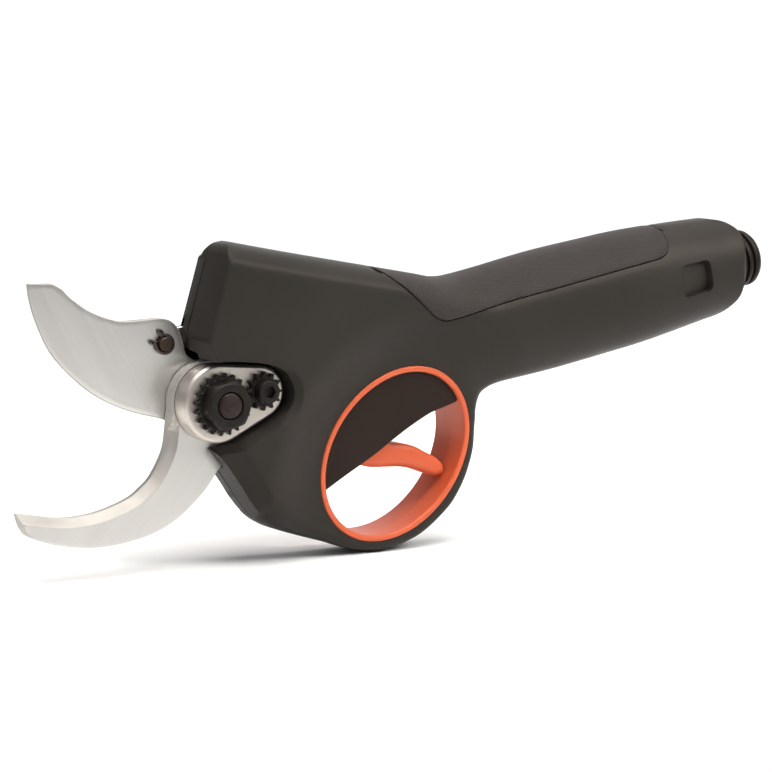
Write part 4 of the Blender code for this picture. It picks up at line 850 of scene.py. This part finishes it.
def casing_fine(left):
    step = FINE
    top = spline(TOP, step)
    tx, tz = zip(*top)
    at = lambda x: float(np.interp(x, tx, tz))
    ga = 0.35
    low_top = PAD_T + 0.3
    front_top = [p for p in top if p[0] < XA - ga - 0.5] + [(XA - ga, at(XA - ga))]
    mid = [(XA - ga, at(XA - ga))] + [p for p in top if XA + 1.0 < p[0] < XB - 1.0] + [(XB + ga, at(XB + ga))]
    mid = offset_path(mid, low_top)
    mid[0] = (XA - ga, mid[0][1])
    mid[-1] = (XB + ga, mid[-1][1])
    rear_top = [(XB + ga, at(XB + ga))] + [p for p in top if p[0] > XB + 1.6]
    paths = [front_top, mid, rear_top, spline(REAR, 1.2), spline(BOTTOM, step), spline(GUARD, step),
             spline(BELLY, step), spline(LOW_FRONT, step)]
    if left:
        paths += [spline(NOTCH[:-1] + [(-80.4, 14.9)], 0.9), spline([(-80.4, 14.9), (-81.1, 16.0), (-82.5, 22.8)], 1.0)]
    else:
        paths += [spline(MOUTH_RIGHT, step)]
    paths += [spline(FRONT, step), spline(FRONT_TOP, 0.8)]
    outline = chain(*paths)
    hole = ellipse(RING_C, RING_A + 0.15, RING_B + 0.15, RING_TILT, 150)
    holes = [hole]
    pad_out = offset_path(spline(PAD_EDGE, 1.2), 0.42)[1:-1]
    pad_in = offset_path(spline(PAD_EDGE, 1.2), 0.27)[1:-1]
    lines = [pad_out, pad_in]
    if not left:
        lines += [[(-73.4 + 0.8 * k, z) for k in range(7)] for z in (50.36, 50.16)]
    extra = []
    for c in SCREWS:
        if left:
            for r in (1.8, 1.95, 4.2, 4.4):
                extra += circle(c, r, 14)
        else:
            holes.append(circle(c, 1.8, 18))
            for r in (3.42, 3.5, 3.8, 5.0, 5.3):
                extra += circle(c, r, 30)
    if not left:
        holes.append(circle(PIVOT, 9.4, 56))
    pocket = round_poly(POCKET, 2.3, 6)
    pc = np.mean(POCKET, axis=0)
    ring1 = [tuple(pc + (np.array(p) - pc) * 0.967) for p in pocket]
    if left:
        lines += [pocket + pocket[:1], ring1 + ring1[:1]]
        extra += [tuple(pc + (np.array(p) - pc) * 1.05) for p in pocket]
    ti = math.radians(INLET_TILT)
    for sq in np.arange(-9.5, -1.5, 1.2):
        for q in (-10.4, -10.2, -9.9, -9.3, -8.2, -6.5, -4, -1.5, 1.5, 4, 6.5, 8.2, 9.3, 9.9, 10.2, 10.4):
            extra.append((INLET[0] + sq * math.cos(ti) - q * math.sin(ti), INLET[1] + sq * math.sin(ti) + q * math.cos(ti)))
    rows = (0.06, 0.24, 0.55, 1.0, 1.6, 2.2, SHELL + 0.25, 2.95, 3.2, 3.5, 3.9, 4.8, 5.8, 7.0)
    V, F = triangulate(outline, holes, lines, step, rows, extra)
    outer = skin(V, left)
    in_x = (V[:, 0] > XA - ga - 0.02) & (V[:, 0] < XB + ga + 0.02)
    padded = above(V, pad_in) & in_x
    padded |= dist(V, mid) < 0.01
    padded |= dist(V, pad_in) < 0.04
    low = skin(V, left, inset=low_top)
    outer = np.where(padded, np.minimum(low, outer), outer)
    seam = dist(V, pad_out)
    outer = outer - np.where(~padded & (seam < 0.5), 0.2 * (1 - seam / 0.5) ** 2, 0)
    edge = np.minimum(dist(V, outline, True), dist(V, hole, True))
    if not left:
        edge = np.minimum(edge, dist(V, holes[-1], True))
    face = np.minimum(dist(V, spline(FRONT, 2.0)), dist(V, spline(LOW_FRONT, 2.0)))
    rim = np.where((face < SHELL + 0.4) & (V[:, 1] < 50.26), 0.3, 0.09)
    inner = np.where(edge < SHELL + 0.35, rim, np.maximum(outer - SHELL, rim))
    if left:
        near_notch = dist(V, spline(NOTCH, 2.0)) < SHELL + 0.35
        hook_zone = (dist(V, spline(LOW_FRONT, 2.0)) < SHELL + 0.35) & (V[:, 1] > -24.8)
        inner = np.where((near_notch | hook_zone) & (inner < 7), 6.7, inner)
    else:
        mouth = np.minimum(dist(V, spline(MOUTH_RIGHT, 2.0)), dist(V, spline(LOW_FRONT, 2.0)))
        mouth = np.minimum(mouth, dist(V, FRONT[:1] + [(-80.6, 29.0)]))
        zone = (mouth < SHELL + 0.4) & (V[:, 1] > -21) & (V[:, 1] < 29.2)
        inner = np.where(zone & (inner < 9.6), 9.6, inner)
        inner = np.where(dist(V, holes[-1], True) < SHELL + 0.3, np.maximum(inner, 9.6), inner)
    covers = (ring_out(V) < SHELL + 0.8) & above(V, PANEL_EDGE) & (V[:, 1] < 12) & (V[:, 0] < 26)
    inner = np.where(covers & (inner < 8.0), 8.0, inner)
    s = (V[:, 0] - INLET[0]) * math.cos(ti) + (V[:, 1] - INLET[1]) * math.sin(ti)
    q = -(V[:, 0] - INLET[0]) * math.sin(ti) + (V[:, 1] - INLET[1]) * math.cos(ti)
    neck = np.sqrt(np.maximum(9.8 ** 2 - q ** 2, 0))
    inner = np.where((s > -9) & (inner < 11), np.maximum(inner, neck), inner)
    for c in SCREWS:
        r = np.hypot(V[:, 0] - c[0], V[:, 1] - c[1])
        if left:
            inner = np.where(r < 4.25, rim, inner)
            inner = np.where(r < 1.85, np.minimum(10.6, outer - 2.0), inner)
        else:
            inner = np.where(r < 5.05, rim, inner)
            seat = float(casing_depth(np.array([c]), 4.0, False)[0]) - 4.6
            outer = np.where(r < 3.46, seat, outer)
            outer = np.where((r > 3.46) & (r < 3.6), outer - 0.25, outer)
    if left:
        hit = inside(V, ring1) | (dist(V, ring1 + ring1[:1]) < 0.01)
        depth = 0.1 + 2.6 * sstep(120.0, 138.0, V[:, 0]) + 0.7 * (1 - sstep(29.0, 40.0, V[:, 1]))
        outer = np.where(hit, outer - depth, outer)
        inner = np.where(inside(V, pocket), np.minimum(inner, outer - 0.8), inner)
    inner = np.minimum(inner, outer - 0.5)
    return field_mesh(V, F, outer, inner, -1 if left else 1)


piece("casing_left", casing_fine(True), CASING, "casing", "housing_left", smooth=32)
piece("casing_right", casing_fine(False), CASING, "casing", "housing_right", smooth=32)


# lip of the right half above the heel of the cutting blade
lip = [(-83.1, 20.4), (-82.45, 23.4), (-80.5, 29.9), (-79.5, 29.6), (-81.4, 23.2), (-82.1, 20.2)]
piece("casing_front_lip", slab(dense(lip, 1.0), [], 0.34, 4.0), CASING, "casing", smooth=30, bevel=0.15)


# ---------------------------------------------------------------- casing screws
def lobed(c, r, depth_ratio, lobes, n):
    return [polar(c, r * (1 - depth_ratio * (0.5 - 0.5 * math.cos(lobes * 2 * math.pi * i / n))), 360 * i / n)
            for i in range(n)]


def socket_head(c, r, y_base, y_top, socket, socket_y, side, edge=0.45):
    """Screw head as one closed height field with a driving socket."""
    grown = [tuple(np.array(c) + (np.array(p) - np.array(c)) * 1.03) for p in socket]
    V, F = triangulate(circle(c, r, 56), [], [socket + socket[:1], grown + grown[:1]], 0.9, (0.05, 0.15, edge * 0.6, edge))
    d = dist(V, circle(c, r, 56), True)
    top = y_top - edge * (1 - quarter(d / edge))
    deep = inside(V, socket) | (dist(V, socket + socket[:1]) < 0.003)
    return field_mesh(V, F, np.where(deep, socket_y, top), np.full(len(V), y_base), side)


for i, c in enumerate(SCREWS):
    seat = float(casing_depth(np.array([c]), 4.0, False)[0]) - 4.6 + GAP
    piece("casing_screw_head_%d" % (i + 1),
          socket_head(c, 3.1, seat, seat + 2.4, lobed(c, 1.75, 0.22, 6, 48), seat + 1.0, 1), BLACK, "casing",
          "housing_screw_%d" % (i + 1), smooth=35)
    reach = 8.6 if c[0] < 120 else 6.0
    piece("casing_screw_shank_%d" % (i + 1),
          lathe([(0, 0), (0.6, 1.5), (reach + seat - 0.02, 1.5), (reach + seat - 0.02, 0)], 20, (c[0], -reach, c[1]), (0, 1, 0)),
          STEEL, "casing")


# ---------------------------------------------------------------- grip pad
def pad_fine():
    step = 1.5
    top = [p for p in spline(TOP, step) if XA + 0.6 < p[0] < XB - 0.6]
    edge = spline(PAD_EDGE, 1.2)
    outline = chain(edge, top[::-1])
    V, F = triangulate(outline, [], [], step, (0.06, 0.2, 0.45, 0.8, 1.3, 2.0, 3.2, 4.6, 6.4, 8.5))
    h = skin(V, True)
    ridge = dist(V, [edge[-1]] + top[::-1] + [edge[0]]) < 0.01
    de = dist(V, edge)
    proud = 0.25 + 0.35 * sstep(112, 120, V[:, 0])
    h = h + np.where(ridge, 0, proud * quarter(de / 0.9)) - 0.25 * (1 - quarter(de / 0.5))
    h = np.where(ridge, 0.8, np.maximum(h, 0.8))
    bm = bmesh.new()
    table = {}

    def vert(i, s):
        k = (i, s)
        if k not in table:
            table[k] = bm.verts.new((V[i][0], s * h[i], V[i][1]))
        return table[k]
    for a, b, c in F:
        bm.faces.new((vert(a, -1), vert(b, -1), vert(c, -1)))
        bm.faces.new((vert(c, 1), vert(b, 1), vert(a, 1)))
        for i, j in ((a, b), (b, c), (c, a)):
            if ridge[i] and ridge[j]:
                bm.faces.new((vert(j, -1), vert(i, -1), vert(i, 1), vert(j, 1)))
    bm.normal_update()
    src = list(bm.verts)
    faces = list(bm.faces)
    borders = [e for e in bm.edges if e.is_boundary]
    rim = {v for e in borders for v in e.verts}
    P = np.array([(v.co.x, v.co.z) for v in src])
    below = skin(P, True, inset=PAD_T)
    dt = dist(P, spline(TOP, 2.0))
    inner = {}
    for v, n, b, d in zip(src, [v.normal.copy() for v in src], below, dt):
        if d > 2.2:
            inner[v] = bm.verts.new((v.co.x, math.copysign(min(b, abs(v.co.y) - 0.3), v.co.y), v.co.z))
        else:
            inner[v] = bm.verts.new((v.co.x, v.co.y * 0.9, v.co.z - PAD_T))
    for f in faces:
        bm.faces.new([inner[v] for v in reversed(f.verts)])
    for e in borders:
        a, b = e.verts
        bm.faces.new((a, b, inner[b], inner[a]))
    return bm


piece("grip_pad_textured", pad_fine(), GRIP, "casing", "grip_pad", smooth=45)


# ---------------------------------------------------------------- finger ring
def ring_fine(left):
    n = 200
    outer_e = ellipse(RING_C, RING_A, RING_B, RING_TILT, n)
    inner_e = ellipse(RING_C, RING_A - RING_RIM, RING_B - RING_RIM, RING_TILT, n)
    V, F = triangulate(outer_e, [inner_e], [], 50, (0.04, 0.14, 0.32, 0.6, 1.0))
    d_in = dist(V, inner_e, True)
    d_out = dist(V, outer_e, True)
    top = RING_H - 0.9 * (1 - quarter(d_in / 1.0)) - 0.45 * (1 - quarter(d_out / 0.6))
    deep = above(V, PANEL_EDGE) & (V[:, 0] < 26)
    return field_mesh(V, F, top, np.where(deep, 8.3, 0.06), -1 if left else 1)


piece("finger_ring_near", ring_fine(True), ORANGE, "casing", "finger_ring_left", smooth=40)
piece("finger_ring_far", ring_fine(False), ORANGE, "casing", "finger_ring_right", smooth=40)


# ---------------------------------------------------------------- trigger covers
def cover_fine(left):
    ring = ellipse(RING_C, RING_A - RING_RIM - 0.06, RING_B - RING_RIM - 0.06, RING_TILT, 220)
    keep = above(np.array(ring), PANEL_EDGE)
    idx = [i for i in range(220) if keep[i]]
    start = next(i for i in idx if not keep[i - 1])
    curve = [ring[(start + k) % 220] for k in range(len(idx))]
    ell = np.array(spline(PANEL_EDGE, 1.0))
    t = math.radians(RING_TILT)
    x, z = ell[:, 0] - RING_C[0], ell[:, 1] - RING_C[1]
    p, q = x * math.cos(t) + z * math.sin(t), -x * math.sin(t) + z * math.cos(t)
    ok = np.hypot(p / (RING_A - RING_RIM - 0.5), q / (RING_B - RING_RIM - 0.5)) < 1
    edge = [tuple(v) for v, k in zip(ell, ok) if k]
    outline = chain(curve, edge)
    V, F = triangulate(outline, [], [], 2.5, (0.06, 0.2, 0.45, 0.8, 1.4),
                       circle(TRIGGER_PIVOT, 2.4, 20) + circle(TRIGGER_PIVOT, 2.6, 20) + [TRIGGER_PIVOT])
    d = dist(V, edge)
    outer = 9.1 - 0.8 * (1 - quarter(d / 0.9))
    r = np.hypot(V[:, 0] - TRIGGER_PIVOT[0], V[:, 1] - TRIGGER_PIVOT[1])
    inner = np.where(r < 2.5, 8.0, 6.6)
    return field_mesh(V, F, outer, np.minimum(inner, outer - 0.5), -1 if left else 1)


piece("trigger_cover_near", cover_fine(True), PANEL, "casing", "trigger_cover_left", smooth=40)
piece("trigger_cover_far", cover_fine(False), PANEL, "casing", "trigger_cover_right", smooth=40)


# ---------------------------------------------------------------- trigger
def trigger_fine():
    outline = spline(TRIGGER + TRIGGER[:1], 0.6)[:-1]
    hole = circle(TRIGGER_PIVOT, 2.0 + GAP, 32)
    hub = circle(TRIGGER_PIVOT, 5.3, 36) + circle(TRIGGER_PIVOT, 5.6, 36)
    V, F = triangulate(outline, [hole], [], 1.4, (0.05, 0.18, 0.4, 0.75, 1.2, 1.8, 2.6), hub)
    d = dist(V, outline, True)
    y = 3.3 + 2.2 * quarter(d / 2.4)
    r = np.hypot(V[:, 0] - TRIGGER_PIVOT[0], V[:, 1] - TRIGGER_PIVOT[1])
    y = np.where(r < 5.45, 2.7, y)
    bm = bmesh.new()
    a = [bm.verts.new((p[0], -h, p[1])) for p, h in zip(V, y)]
    b = [bm.verts.new((p[0], h, p[1])) for p, h in zip(V, y)]
    count = {}
    for i, j, k in F:
        bm.faces.new((a[i], a[j], a[k]))
        bm.faces.new((b[k], b[j], b[i]))
        for e in ((i, j), (j, k), (k, i)):
            key = tuple(sorted(e))
            count[key] = None if key in count else e
    for e in count.values():
        if e:
            bm.faces.new((a[e[1]], a[e[0]], b[e[0]], b[e[1]]))
    bmesh.ops.delete(bm, geom=[v for v in bm.verts if not v.link_faces], context="VERTS")
    return bm


piece("trigger_lever", trigger_fine(), TRIG, "trigger", ("trigger", "trigger_magnet"), smooth=50)


# ---------------------------------------------------------------- blades
def blade_fine():
    step = 1.2
    back = spline(BLADE_BACK[:2], step)[:-1] + spline(BLADE_BACK[1:], step)
    outline = chain(back, arc(PIVOT, 14.0, 86, -124, 60), spline(BLADE_EDGE, step))
    holes = [circle(PIVOT, 7.2, 60), circle(LINK_PIN, 2.8, 32)]
    V, F = triangulate(outline, holes, [], 3.0, (0.05, 0.18, 0.4, 2.0, 4.5, 8.2, 8.6))
    d = dist(V, spline(BLADE_EDGE[2:], 1.0))
    e = dist(V, outline, True)
    far = BLADE_Y[0] + np.minimum(BLADE_Y[1] - BLADE_Y[0], 0.35 + 0.44 * d) - 0.25 * (1 - np.minimum(e / 0.3, 1)) * (d > 2)
    near = BLADE_Y[0] + 0.22 * (1 - np.minimum(e / 0.22, 1))
    return field_mesh(V, F, np.maximum(far, near + 0.12), near, 1)


def second_finish(ob, mat):
    """The bevel and the edge faces, which aren't square to Y, take their own finish."""
    ob.data.materials.append(mat)
    for f in ob.data.polygons:
        if abs(f.normal.y) < 0.985:
            f.material_index = 1


second_finish(piece("cutting_blade_ground", blade_fine(), BLADE, "blade", "cutting_blade", smooth=18), EDGE)


def hook_fine():
    step = 1.2
    disc = arc(PIVOT, 14.6, -20.5, 188, 60)
    toe = [(-149.3, -35.2), (-148.7, -37.4), (-147.7, -40.2), (-146.0, -42.7)]
    inner_curve = spline(HOOK_INNER[:-2] + toe[:1], step)
    outline = chain(spline(toe, 0.8), spline([toe[-1]] + HOOK_OUTER[3:], step), spline(HOOK_TANG, step), disc, inner_curve)
    holes = [circle(PIVOT, 5.2, 48), circle(PINION, 2.5, 24)] + [circle(c, 1.8, 20) for c in TANG_SCREWS]
    V, F = triangulate(outline, holes, [], 2.6, (0.05, 0.18, 0.4, 1.0, 2.0, 2.9, 3.1, 4.4))
    d = dist(V, spline(HOOK_INNER[1:-2] + toe[:1], 1.0))
    e = dist(V, outline, True)
    near = smin(np.full(len(V), HOOK_Y[1]), 2.4 + 1.2 * d, 0.12)
    near = near - 0.3 * (1 - quarter(e / 0.35)) * (d > 2.5)
    return field_mesh(V, F, near, np.full(len(V), HOOK_Y[0]), -1)


second_finish(piece("counter_blade_ground", hook_fine(), HOOK, "casing", "counter_blade", smooth=18), EDGE)


# ---------------------------------------------------------------- pivot plate, nut, pinion, bolt
def plate_fine(chamfer=0.9):
    outline = dense(hull2(PIVOT, 14.0, PLATE_END[0], PLATE_END[1], 64), 0.9)
    holes = [circle(PIVOT, 5.2, 48), circle(PINION, 2.5, 24)]
    V, F = triangulate(outline, holes, [], 2.0, (0.12, 0.4, 0.7, chamfer, chamfer + 0.15, chamfer + 0.4))
    d = dist(V, outline, True)
    top = smin(np.full(len(V), PLATE_TOP), PLATE_TOP - chamfer + d * 1.05, 0.25)
    top = top - 0.25 * (1 - quarter(d / 0.25)) * (d < 0.25)
    return field_mesh(V, F, top, np.full(len(V), 6.3), -1)


piece("pivot_plate_satin", plate_fine(), PLATE, "casing", "pivot_plate", smooth=22)

bolt_p = [(0, 0), (0, 3.85), (0.12, 4.05), (0.45, 4.15), (0.55, 4.35), (0.75, 4.5), (32.1, 4.8), (32.1, 8.3), (32.3, 8.5),
          (35.3, 8.5), (35.8, 8.3), (36.0, 7.8), (36.0, 4.2), (35.8, 4.0), (34.0, 4.0), (34.0, 0)]
piece("pivot_bolt_turned", lathe(bolt_p, 64, (PIVOT[0], -22.5, PIVOT[1]), (0, 1, 0)), BOLT, "casing",
      "pivot_bolt", smooth=35)


def toothed(c, teeth, module, phase, backlash=0.45):
    """Gear outline with rounded tooth tips and roots."""
    rp = teeth * module / 2
    ro, rr = rp + 0.72 * module, rp - 0.85 * module
    half = (math.pi * module / 2 - backlash) / 2 / rp
    out = []
    for k in range(teeth):
        a = phase + k * 2 * math.pi / teeth
        row = [(rr, half * 2.0), (rr + 0.08 * module, half * 1.68), (rr + 0.3 * module, half * 1.45), (rp, half),
               (ro - 0.3 * module, half * 0.78), (ro - 0.08 * module, half * 0.55), (ro, half * 0.22)]
        for s, seq in ((-1, row), (1, row[::-1])):
            out += [(c[0] + r * math.cos(a + s * h), c[1] + r * math.sin(a + s * h)) for r, h in seq]
    return out


def nut_fine():
    flange = toothed(PIVOT, NUT_TEETH, GEAR_MODULE, math.radians(PINION_ANGLE))
    bore = circle(PIVOT, 4.95, 60)
    af = 16.0
    a0 = math.radians(12)
    hexa = round_poly(regular(PIVOT, af, 6, a0), 1.9, 5)
    hexo = round_poly(regular(PIVOT, af + 0.06, 6, a0), 1.9, 5)
    hexa, hexo = dense(hexa, 0.9), dense(hexo, 0.9)
    rings = []
    for r in (5.05, 5.3, 5.6, 6.4, 7.2, 7.55, 7.65, 7.75, 7.9, 8.1, 8.3, 8.55, 8.65):
        rings += circle(PIVOT, r, 72)
    V, F = triangulate(flange, [bore], [hexa + hexa[:1], hexo + hexo[:1]], 3.0, (0.08, 0.25), rings)
    r = np.hypot(V[:, 0] - PIVOT[0], V[:, 1] - PIVOT[1])
    head = 22.0 - 0.8 * np.maximum(r - 7.6, 0) - 0.35 * (1 - quarter((r - 4.95) / 0.45)) * (r < 5.4)
    e = dist(V, flange, True)
    fl = 16.8 - 0.28 * (1 - np.minimum(e / 0.25, 1))
    is_hex = inside(V, hexa) | (dist(V, hexa, True) < 0.004)
    top = np.where(is_hex, head, fl)
    return field_mesh(V, F, top, np.where(r < 8.6, 14.4, 14.9), -1)


piece("clamp_nut", nut_fine(), BLACK, "clamp_nut", "pivot_nut", smooth=28)

pinion_phase = math.radians(PINION_ANGLE + 180) + math.pi / PINION_TEETH


def pinion_fine():
    teeth = toothed(PINION, PINION_TEETH, GEAR_MODULE, pinion_phase)
    bore = circle(PINION, 2.5, 32)
    rings = circle(PINION, 4.3, 48) + circle(PINION, 4.42, 48)
    V, F = triangulate(teeth, [bore], [], 1.2, (0.08, 0.25), rings)
    e = dist(V, teeth, True)
    r = np.hypot(V[:, 0] - PINION[0], V[:, 1] - PINION[1])
    top = np.where(r < 4.35, 18.4, 16.9 - 0.3 * (1 - np.minimum(e / 0.25, 1)))
    return field_mesh(V, F, top, np.full(len(V), 14.7), -1)


piece("pinion_gear", pinion_fine(), BLACK, "pinion", "adjuster_pinion", smooth=28)
piece("pinion_screw_head", socket_head(PINION, 4.15, 18.6, 20.7, dense(regular(PINION, 4.0, 6), 0.8), 18.9, -1, edge=0.55), BLACK,
      "casing", "pinion_screw", smooth=30)
piece("pinion_screw_shank", lathe([(0, 0), (0, 2.2), (17.6, 2.2), (17.6, 0)], 32, (PINION[0], -18.68, PINION[1]), (0, 1, 0)),
      STEEL, "casing", smooth=30)

# ---------------------------------------------------------------- link pin, its ring and the link
pin_p = [(0, 0), (0, 2.05), (0.3, 2.5), (1.0, 2.5), (1.0, 2.3), (1.7, 2.3), (1.7, 2.5), (11.9, 2.5), (11.9, 3.6), (12.1, 3.8),
         (13.3, 3.8), (13.5, 3.6), (13.5, 0)]
piece("link_pin_turned", lathe(pin_p, 48, (LINK_PIN[0], -3.0, LINK_PIN[1]), (0, 1, 0)), PIN, "blade",
      "link_pin", smooth=30)


def clip_fine():
    gap = 140
    a0, a1 = gap + 20, gap + 340
    outer = [polar(LINK_PIN, 3.75 + 0.3 * math.cos(math.radians(a - gap - 180)), a) for a in np.linspace(a0 + 27, a1 - 27, 60)]
    ear1 = [polar(LINK_PIN, 4.2, a1 - 26), polar(LINK_PIN, 4.9, a1 - 22), polar(LINK_PIN, 5.35, a1 - 16),
            polar(LINK_PIN, 5.5, a1 - 9), polar(LINK_PIN, 5.3, a1 - 3), polar(LINK_PIN, 4.7, a1 - 0.5)]
    ear0 = [polar(LINK_PIN, 4.7, a0 + 0.5), polar(LINK_PIN, 5.3, a0 + 3), polar(LINK_PIN, 5.5, a0 + 9),
            polar(LINK_PIN, 5.35, a0 + 16), polar(LINK_PIN, 4.9, a0 + 22), polar(LINK_PIN, 4.2, a0 + 26)]
    inner = arc(LINK_PIN, 2.62, a1, a0, 60)
    outline = chain(outer, ear1, inner, ear0)
    holes = [circle(polar(LINK_PIN, 4.65, a1 - 11.5), 0.42, 14), circle(polar(LINK_PIN, 4.65, a0 + 11.5), 0.42, 14)]
    V, F = triangulate(outline, holes, [], 1.0, (0.05, 0.16))
    e = dist(V, outline, True)
    return field_mesh(V, F, 1.35 - 0.16 * (1 - quarter(e / 0.18)), np.full(len(V), 0.2), -1)


piece("link_pin_retaining_ring", clip_fine(), CLIP, "blade", "link_pin_circlip", smooth=30)


def link_fine():
    outline = dense(link_outline(60), 1.0)
    V, F = triangulate(outline, [circle(LINK_PIN, 2.8, 32), circle(ROD_PIN, 4.0, 32)], [], 3.0, (0.06, 0.3))
    e = dist(V, outline, True)
    c = 0.3 * (1 - np.minimum(e / 0.3, 1))
    return field_mesh(V, F, 8.5 - c, 4.5 + c, 1)


def link_outline(n):
    u = np.array(ROD_PIN) - np.array(LINK_PIN)
    ang = math.degrees(math.atan2(u[1], u[0]))
    return chain(arc(LINK_PIN, 6.0, ang + 42, ang + 318, n), arc(ROD_PIN, 6.3, ang - 138, ang + 138, n))


piece("drive_link_plate", link_fine(), STEEL, "link", "drive_link", smooth=25)


# ---------------------------------------------------------------- cable inlet
def turned_ring(profile, n, start, axis):
    bm = bmesh.new()
    d = Vector(axis).normalized()
    e1 = Vector((0, 1, 0))
    e2 = d.cross(e1).normalized()
    rows = [[bm.verts.new(Vector(start) + d * s + r * (math.cos(2 * math.pi * i / n) * e1
                                                       + math.sin(2 * math.pi * i / n) * e2)) for i in range(n)]
            for s, r in profile]
    for a, b in zip(rows, rows[1:] + rows[:1]):
        for i in range(n):
            bm.faces.new((a[i], a[(i + 1) % n], b[(i + 1) % n], b[i]))
    return bm


t = math.radians(INLET_TILT)
axis = (math.cos(t), 0, math.sin(t))
start = (INLET[0], 0, INLET[1])
inlet_p = [(-9.0, 6.4), (-9.0, 11.6), (-6.6, 11.6), (-6.6, 9.4), (2.3, 9.4), (2.3, 10.7), (2.45, 11.0), (3.5, 11.05),
           (3.8, 10.85), (3.95, 9.7), (4.55, 9.6), (4.8, 9.75), (4.95, 11.0), (5.25, 11.2), (6.4, 11.2), (6.7, 11.0),
           (6.85, 9.75), (7.1, 9.6), (7.7, 9.6), (7.9, 9.75), (8.05, 11.0), (8.35, 11.2), (9.4, 11.2), (9.95, 11.05),
           (10.35, 10.65), (10.9, 10.25), (11.3, 10.0), (11.4, 9.7), (11.4, 7.7), (11.2, 7.4), (-2.0, 7.4), (-2.0, 6.4)]
piece("cable_inlet_turned", turned_ring(inlet_p, 80, start, axis), CONN, "casing", "cable_inlet", smooth=35)
core_p = [(0, 0), (0, 6.0), (6.9, 6.0), (6.9, 7.0), (10.3, 7.0), (10.5, 6.8), (10.5, 4.8), (10.3, 4.6), (9.5, 4.6), (9.5, 0)]
piece("inlet_core_turned", lathe(core_p, 56, tuple(Vector(start) + Vector(axis) * -8.4), axis), CONN, "casing",
      "inlet_core", smooth=35)
for k in range(4):
    a = math.radians(45 + 90 * k)
    base = Vector(start) + Vector(axis) * 1.12 + 2.6 * (math.cos(a) * Vector((0, 1, 0)) + math.sin(a) * Vector((-math.sin(t), 0, math.cos(t))))
    piece("inlet_contact_%d" % (k + 1), lathe([(0, 0), (0, 0.75), (3.4, 0.75), (3.9, 0.45), (4.0, 0)], 24, tuple(base), axis),
          STEEL, "casing", smooth=40)


# ---------------------------------------------------------------- carried-over CAD nodes
KEEP = {
    "trigger_pin": STEEL, "trigger_spring": STEEL, "trigger_sensor_board": BOARD,
    "pivot_spacer": STEEL, "blade_bush": STEEL, "tang_screw_1": STEEL, "tang_screw_2": STEEL, "rod_pin": STEEL,
    "push_rod": STEEL, "drive_nut": STEEL, "nut_bearing": STEEL, "gearbox": COPPER, "motor": COPPER,
    "control_board": BOARD, "inlet_seal": SEAL,
}
for name, mat in KEEP.items():
    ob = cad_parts[name]
    for s in ob.material_slots:
        s.material = mat

# ---------------------------------------------------------------- floor, light, camera
def sweep():
    """Pale floor that curves up into a backdrop behind the tool."""
    prof = [(-3.0, 0.0), (1.6, 0.0)]
    prof += [(1.6 + 1.2 * math.sin(math.radians(a)), 1.2 - 1.2 * math.cos(math.radians(a))) for a in range(6, 91, 6)]
    prof += [(2.8, 4.0)]
    bm = bmesh.new()
    rows = []
    A = math.radians(31.0)
    fwd = Vector((math.sin(A), math.cos(A), 0))
    rgt = Vector((math.cos(A), -math.sin(A), 0))
    for s, z in prof:
        rows.append([bm.verts.new(fwd * s + rgt * x + Vector((0, 0, z - 0.0003))) for x in (-4, -2, 0, 2, 4)])
    for a, b in zip(rows[:-1], rows[1:]):
        for i in range(4):
            bm.faces.new((a[i], a[i + 1], b[i + 1], b[i]))
    me = bpy.data.meshes.new("sweep")
    bm.to_mesh(me)
    bm.free()
    me.shade_smooth()
    ob = bpy.data.objects.new("studio_sweep", me)
    bpy.context.scene.collection.objects.link(ob)
    m, nt, b = new_mat("studio_paper")
    v = mapped(nt)
    nt.links.new(ramp(nt, noise(nt, v, 3.0, 2.0), [(0.3, (0.90, 0.90, 0.90)), (0.7, (0.93, 0.93, 0.93))]), b.inputs["Base Color"])
    nt.links.new(remap(nt, noise(nt, v, 40.0), 0.3, 0.7, 0.75, 0.85), b.inputs["Roughness"])
    b.inputs["Specular IOR Level"].default_value = 0.1
    me.materials.append(m)
    return ob


sweep()
scene = bpy.context.scene
world = bpy.data.worlds.new("studio")
scene.world = world
world.use_nodes = True
bg = world.node_tree.nodes["Background"]
bg.inputs["Color"].default_value = (1, 0.985, 0.965, 1)
bg.inputs["Strength"].default_value = 0.16


def area(name, loc, target, size, power, color=(1, 1, 1), size_y=None):
    l = bpy.data.lights.new(name, "AREA")
    l.energy = power
    l.color = color
    l.shape = "RECTANGLE"
    l.size = size
    l.size_y = size_y or size
    o = bpy.data.objects.new(name, l)
    o.location = loc
    o.rotation_euler = (Vector(target) - Vector(loc)).to_track_quat("-Z", "Y").to_euler()
    scene.collection.objects.link(o)
    return o


area("top", (-0.15, -0.20, 1.4), (0, 0, 0.06), 1.2, 21, color=(1, 0.97, 0.94), size_y=0.8)
area("key", (-1.2, -0.9, 0.9), (0, 0, 0.06), 0.8, 2.4)
area("near", (0.37, -0.46, 0.50), (0.135, 0, 0.10), 0.26, 0.50, color=(1, 0.97, 0.94)).data.spread = math.radians(60)
area("upper", (-0.02, -0.34, 0.60), (-0.01, 0, 0.115), 0.22, 0.13, color=(1, 0.97, 0.94)).data.spread = math.radians(48)
area("fill", (0.7, -1.1, 0.35), (0.05, 0, 0.06), 0.7, 0.3)
area("backdrop", (0.6, 0.4, 1.8), (1.2, 2.2, 0.9), 1.6, 48)

cam = bpy.data.cameras.new("photo_view")
cam.lens = 126.03
cam.sensor_width = 36.0
cam.clip_start = 0.01
cob = bpy.data.objects.new("photo_view", cam)
eye = Vector((-0.52154, -0.8502, 0.17321))
look = Vector((-0.00984, 0.0015, 0.06001))
cob.location = eye
cob.rotation_euler = (look - eye).to_track_quat("-Z", "Y").to_euler()
scene.collection.objects.link(cob)
scene.camera = cob
scene.view_settings.view_transform = "Standard"
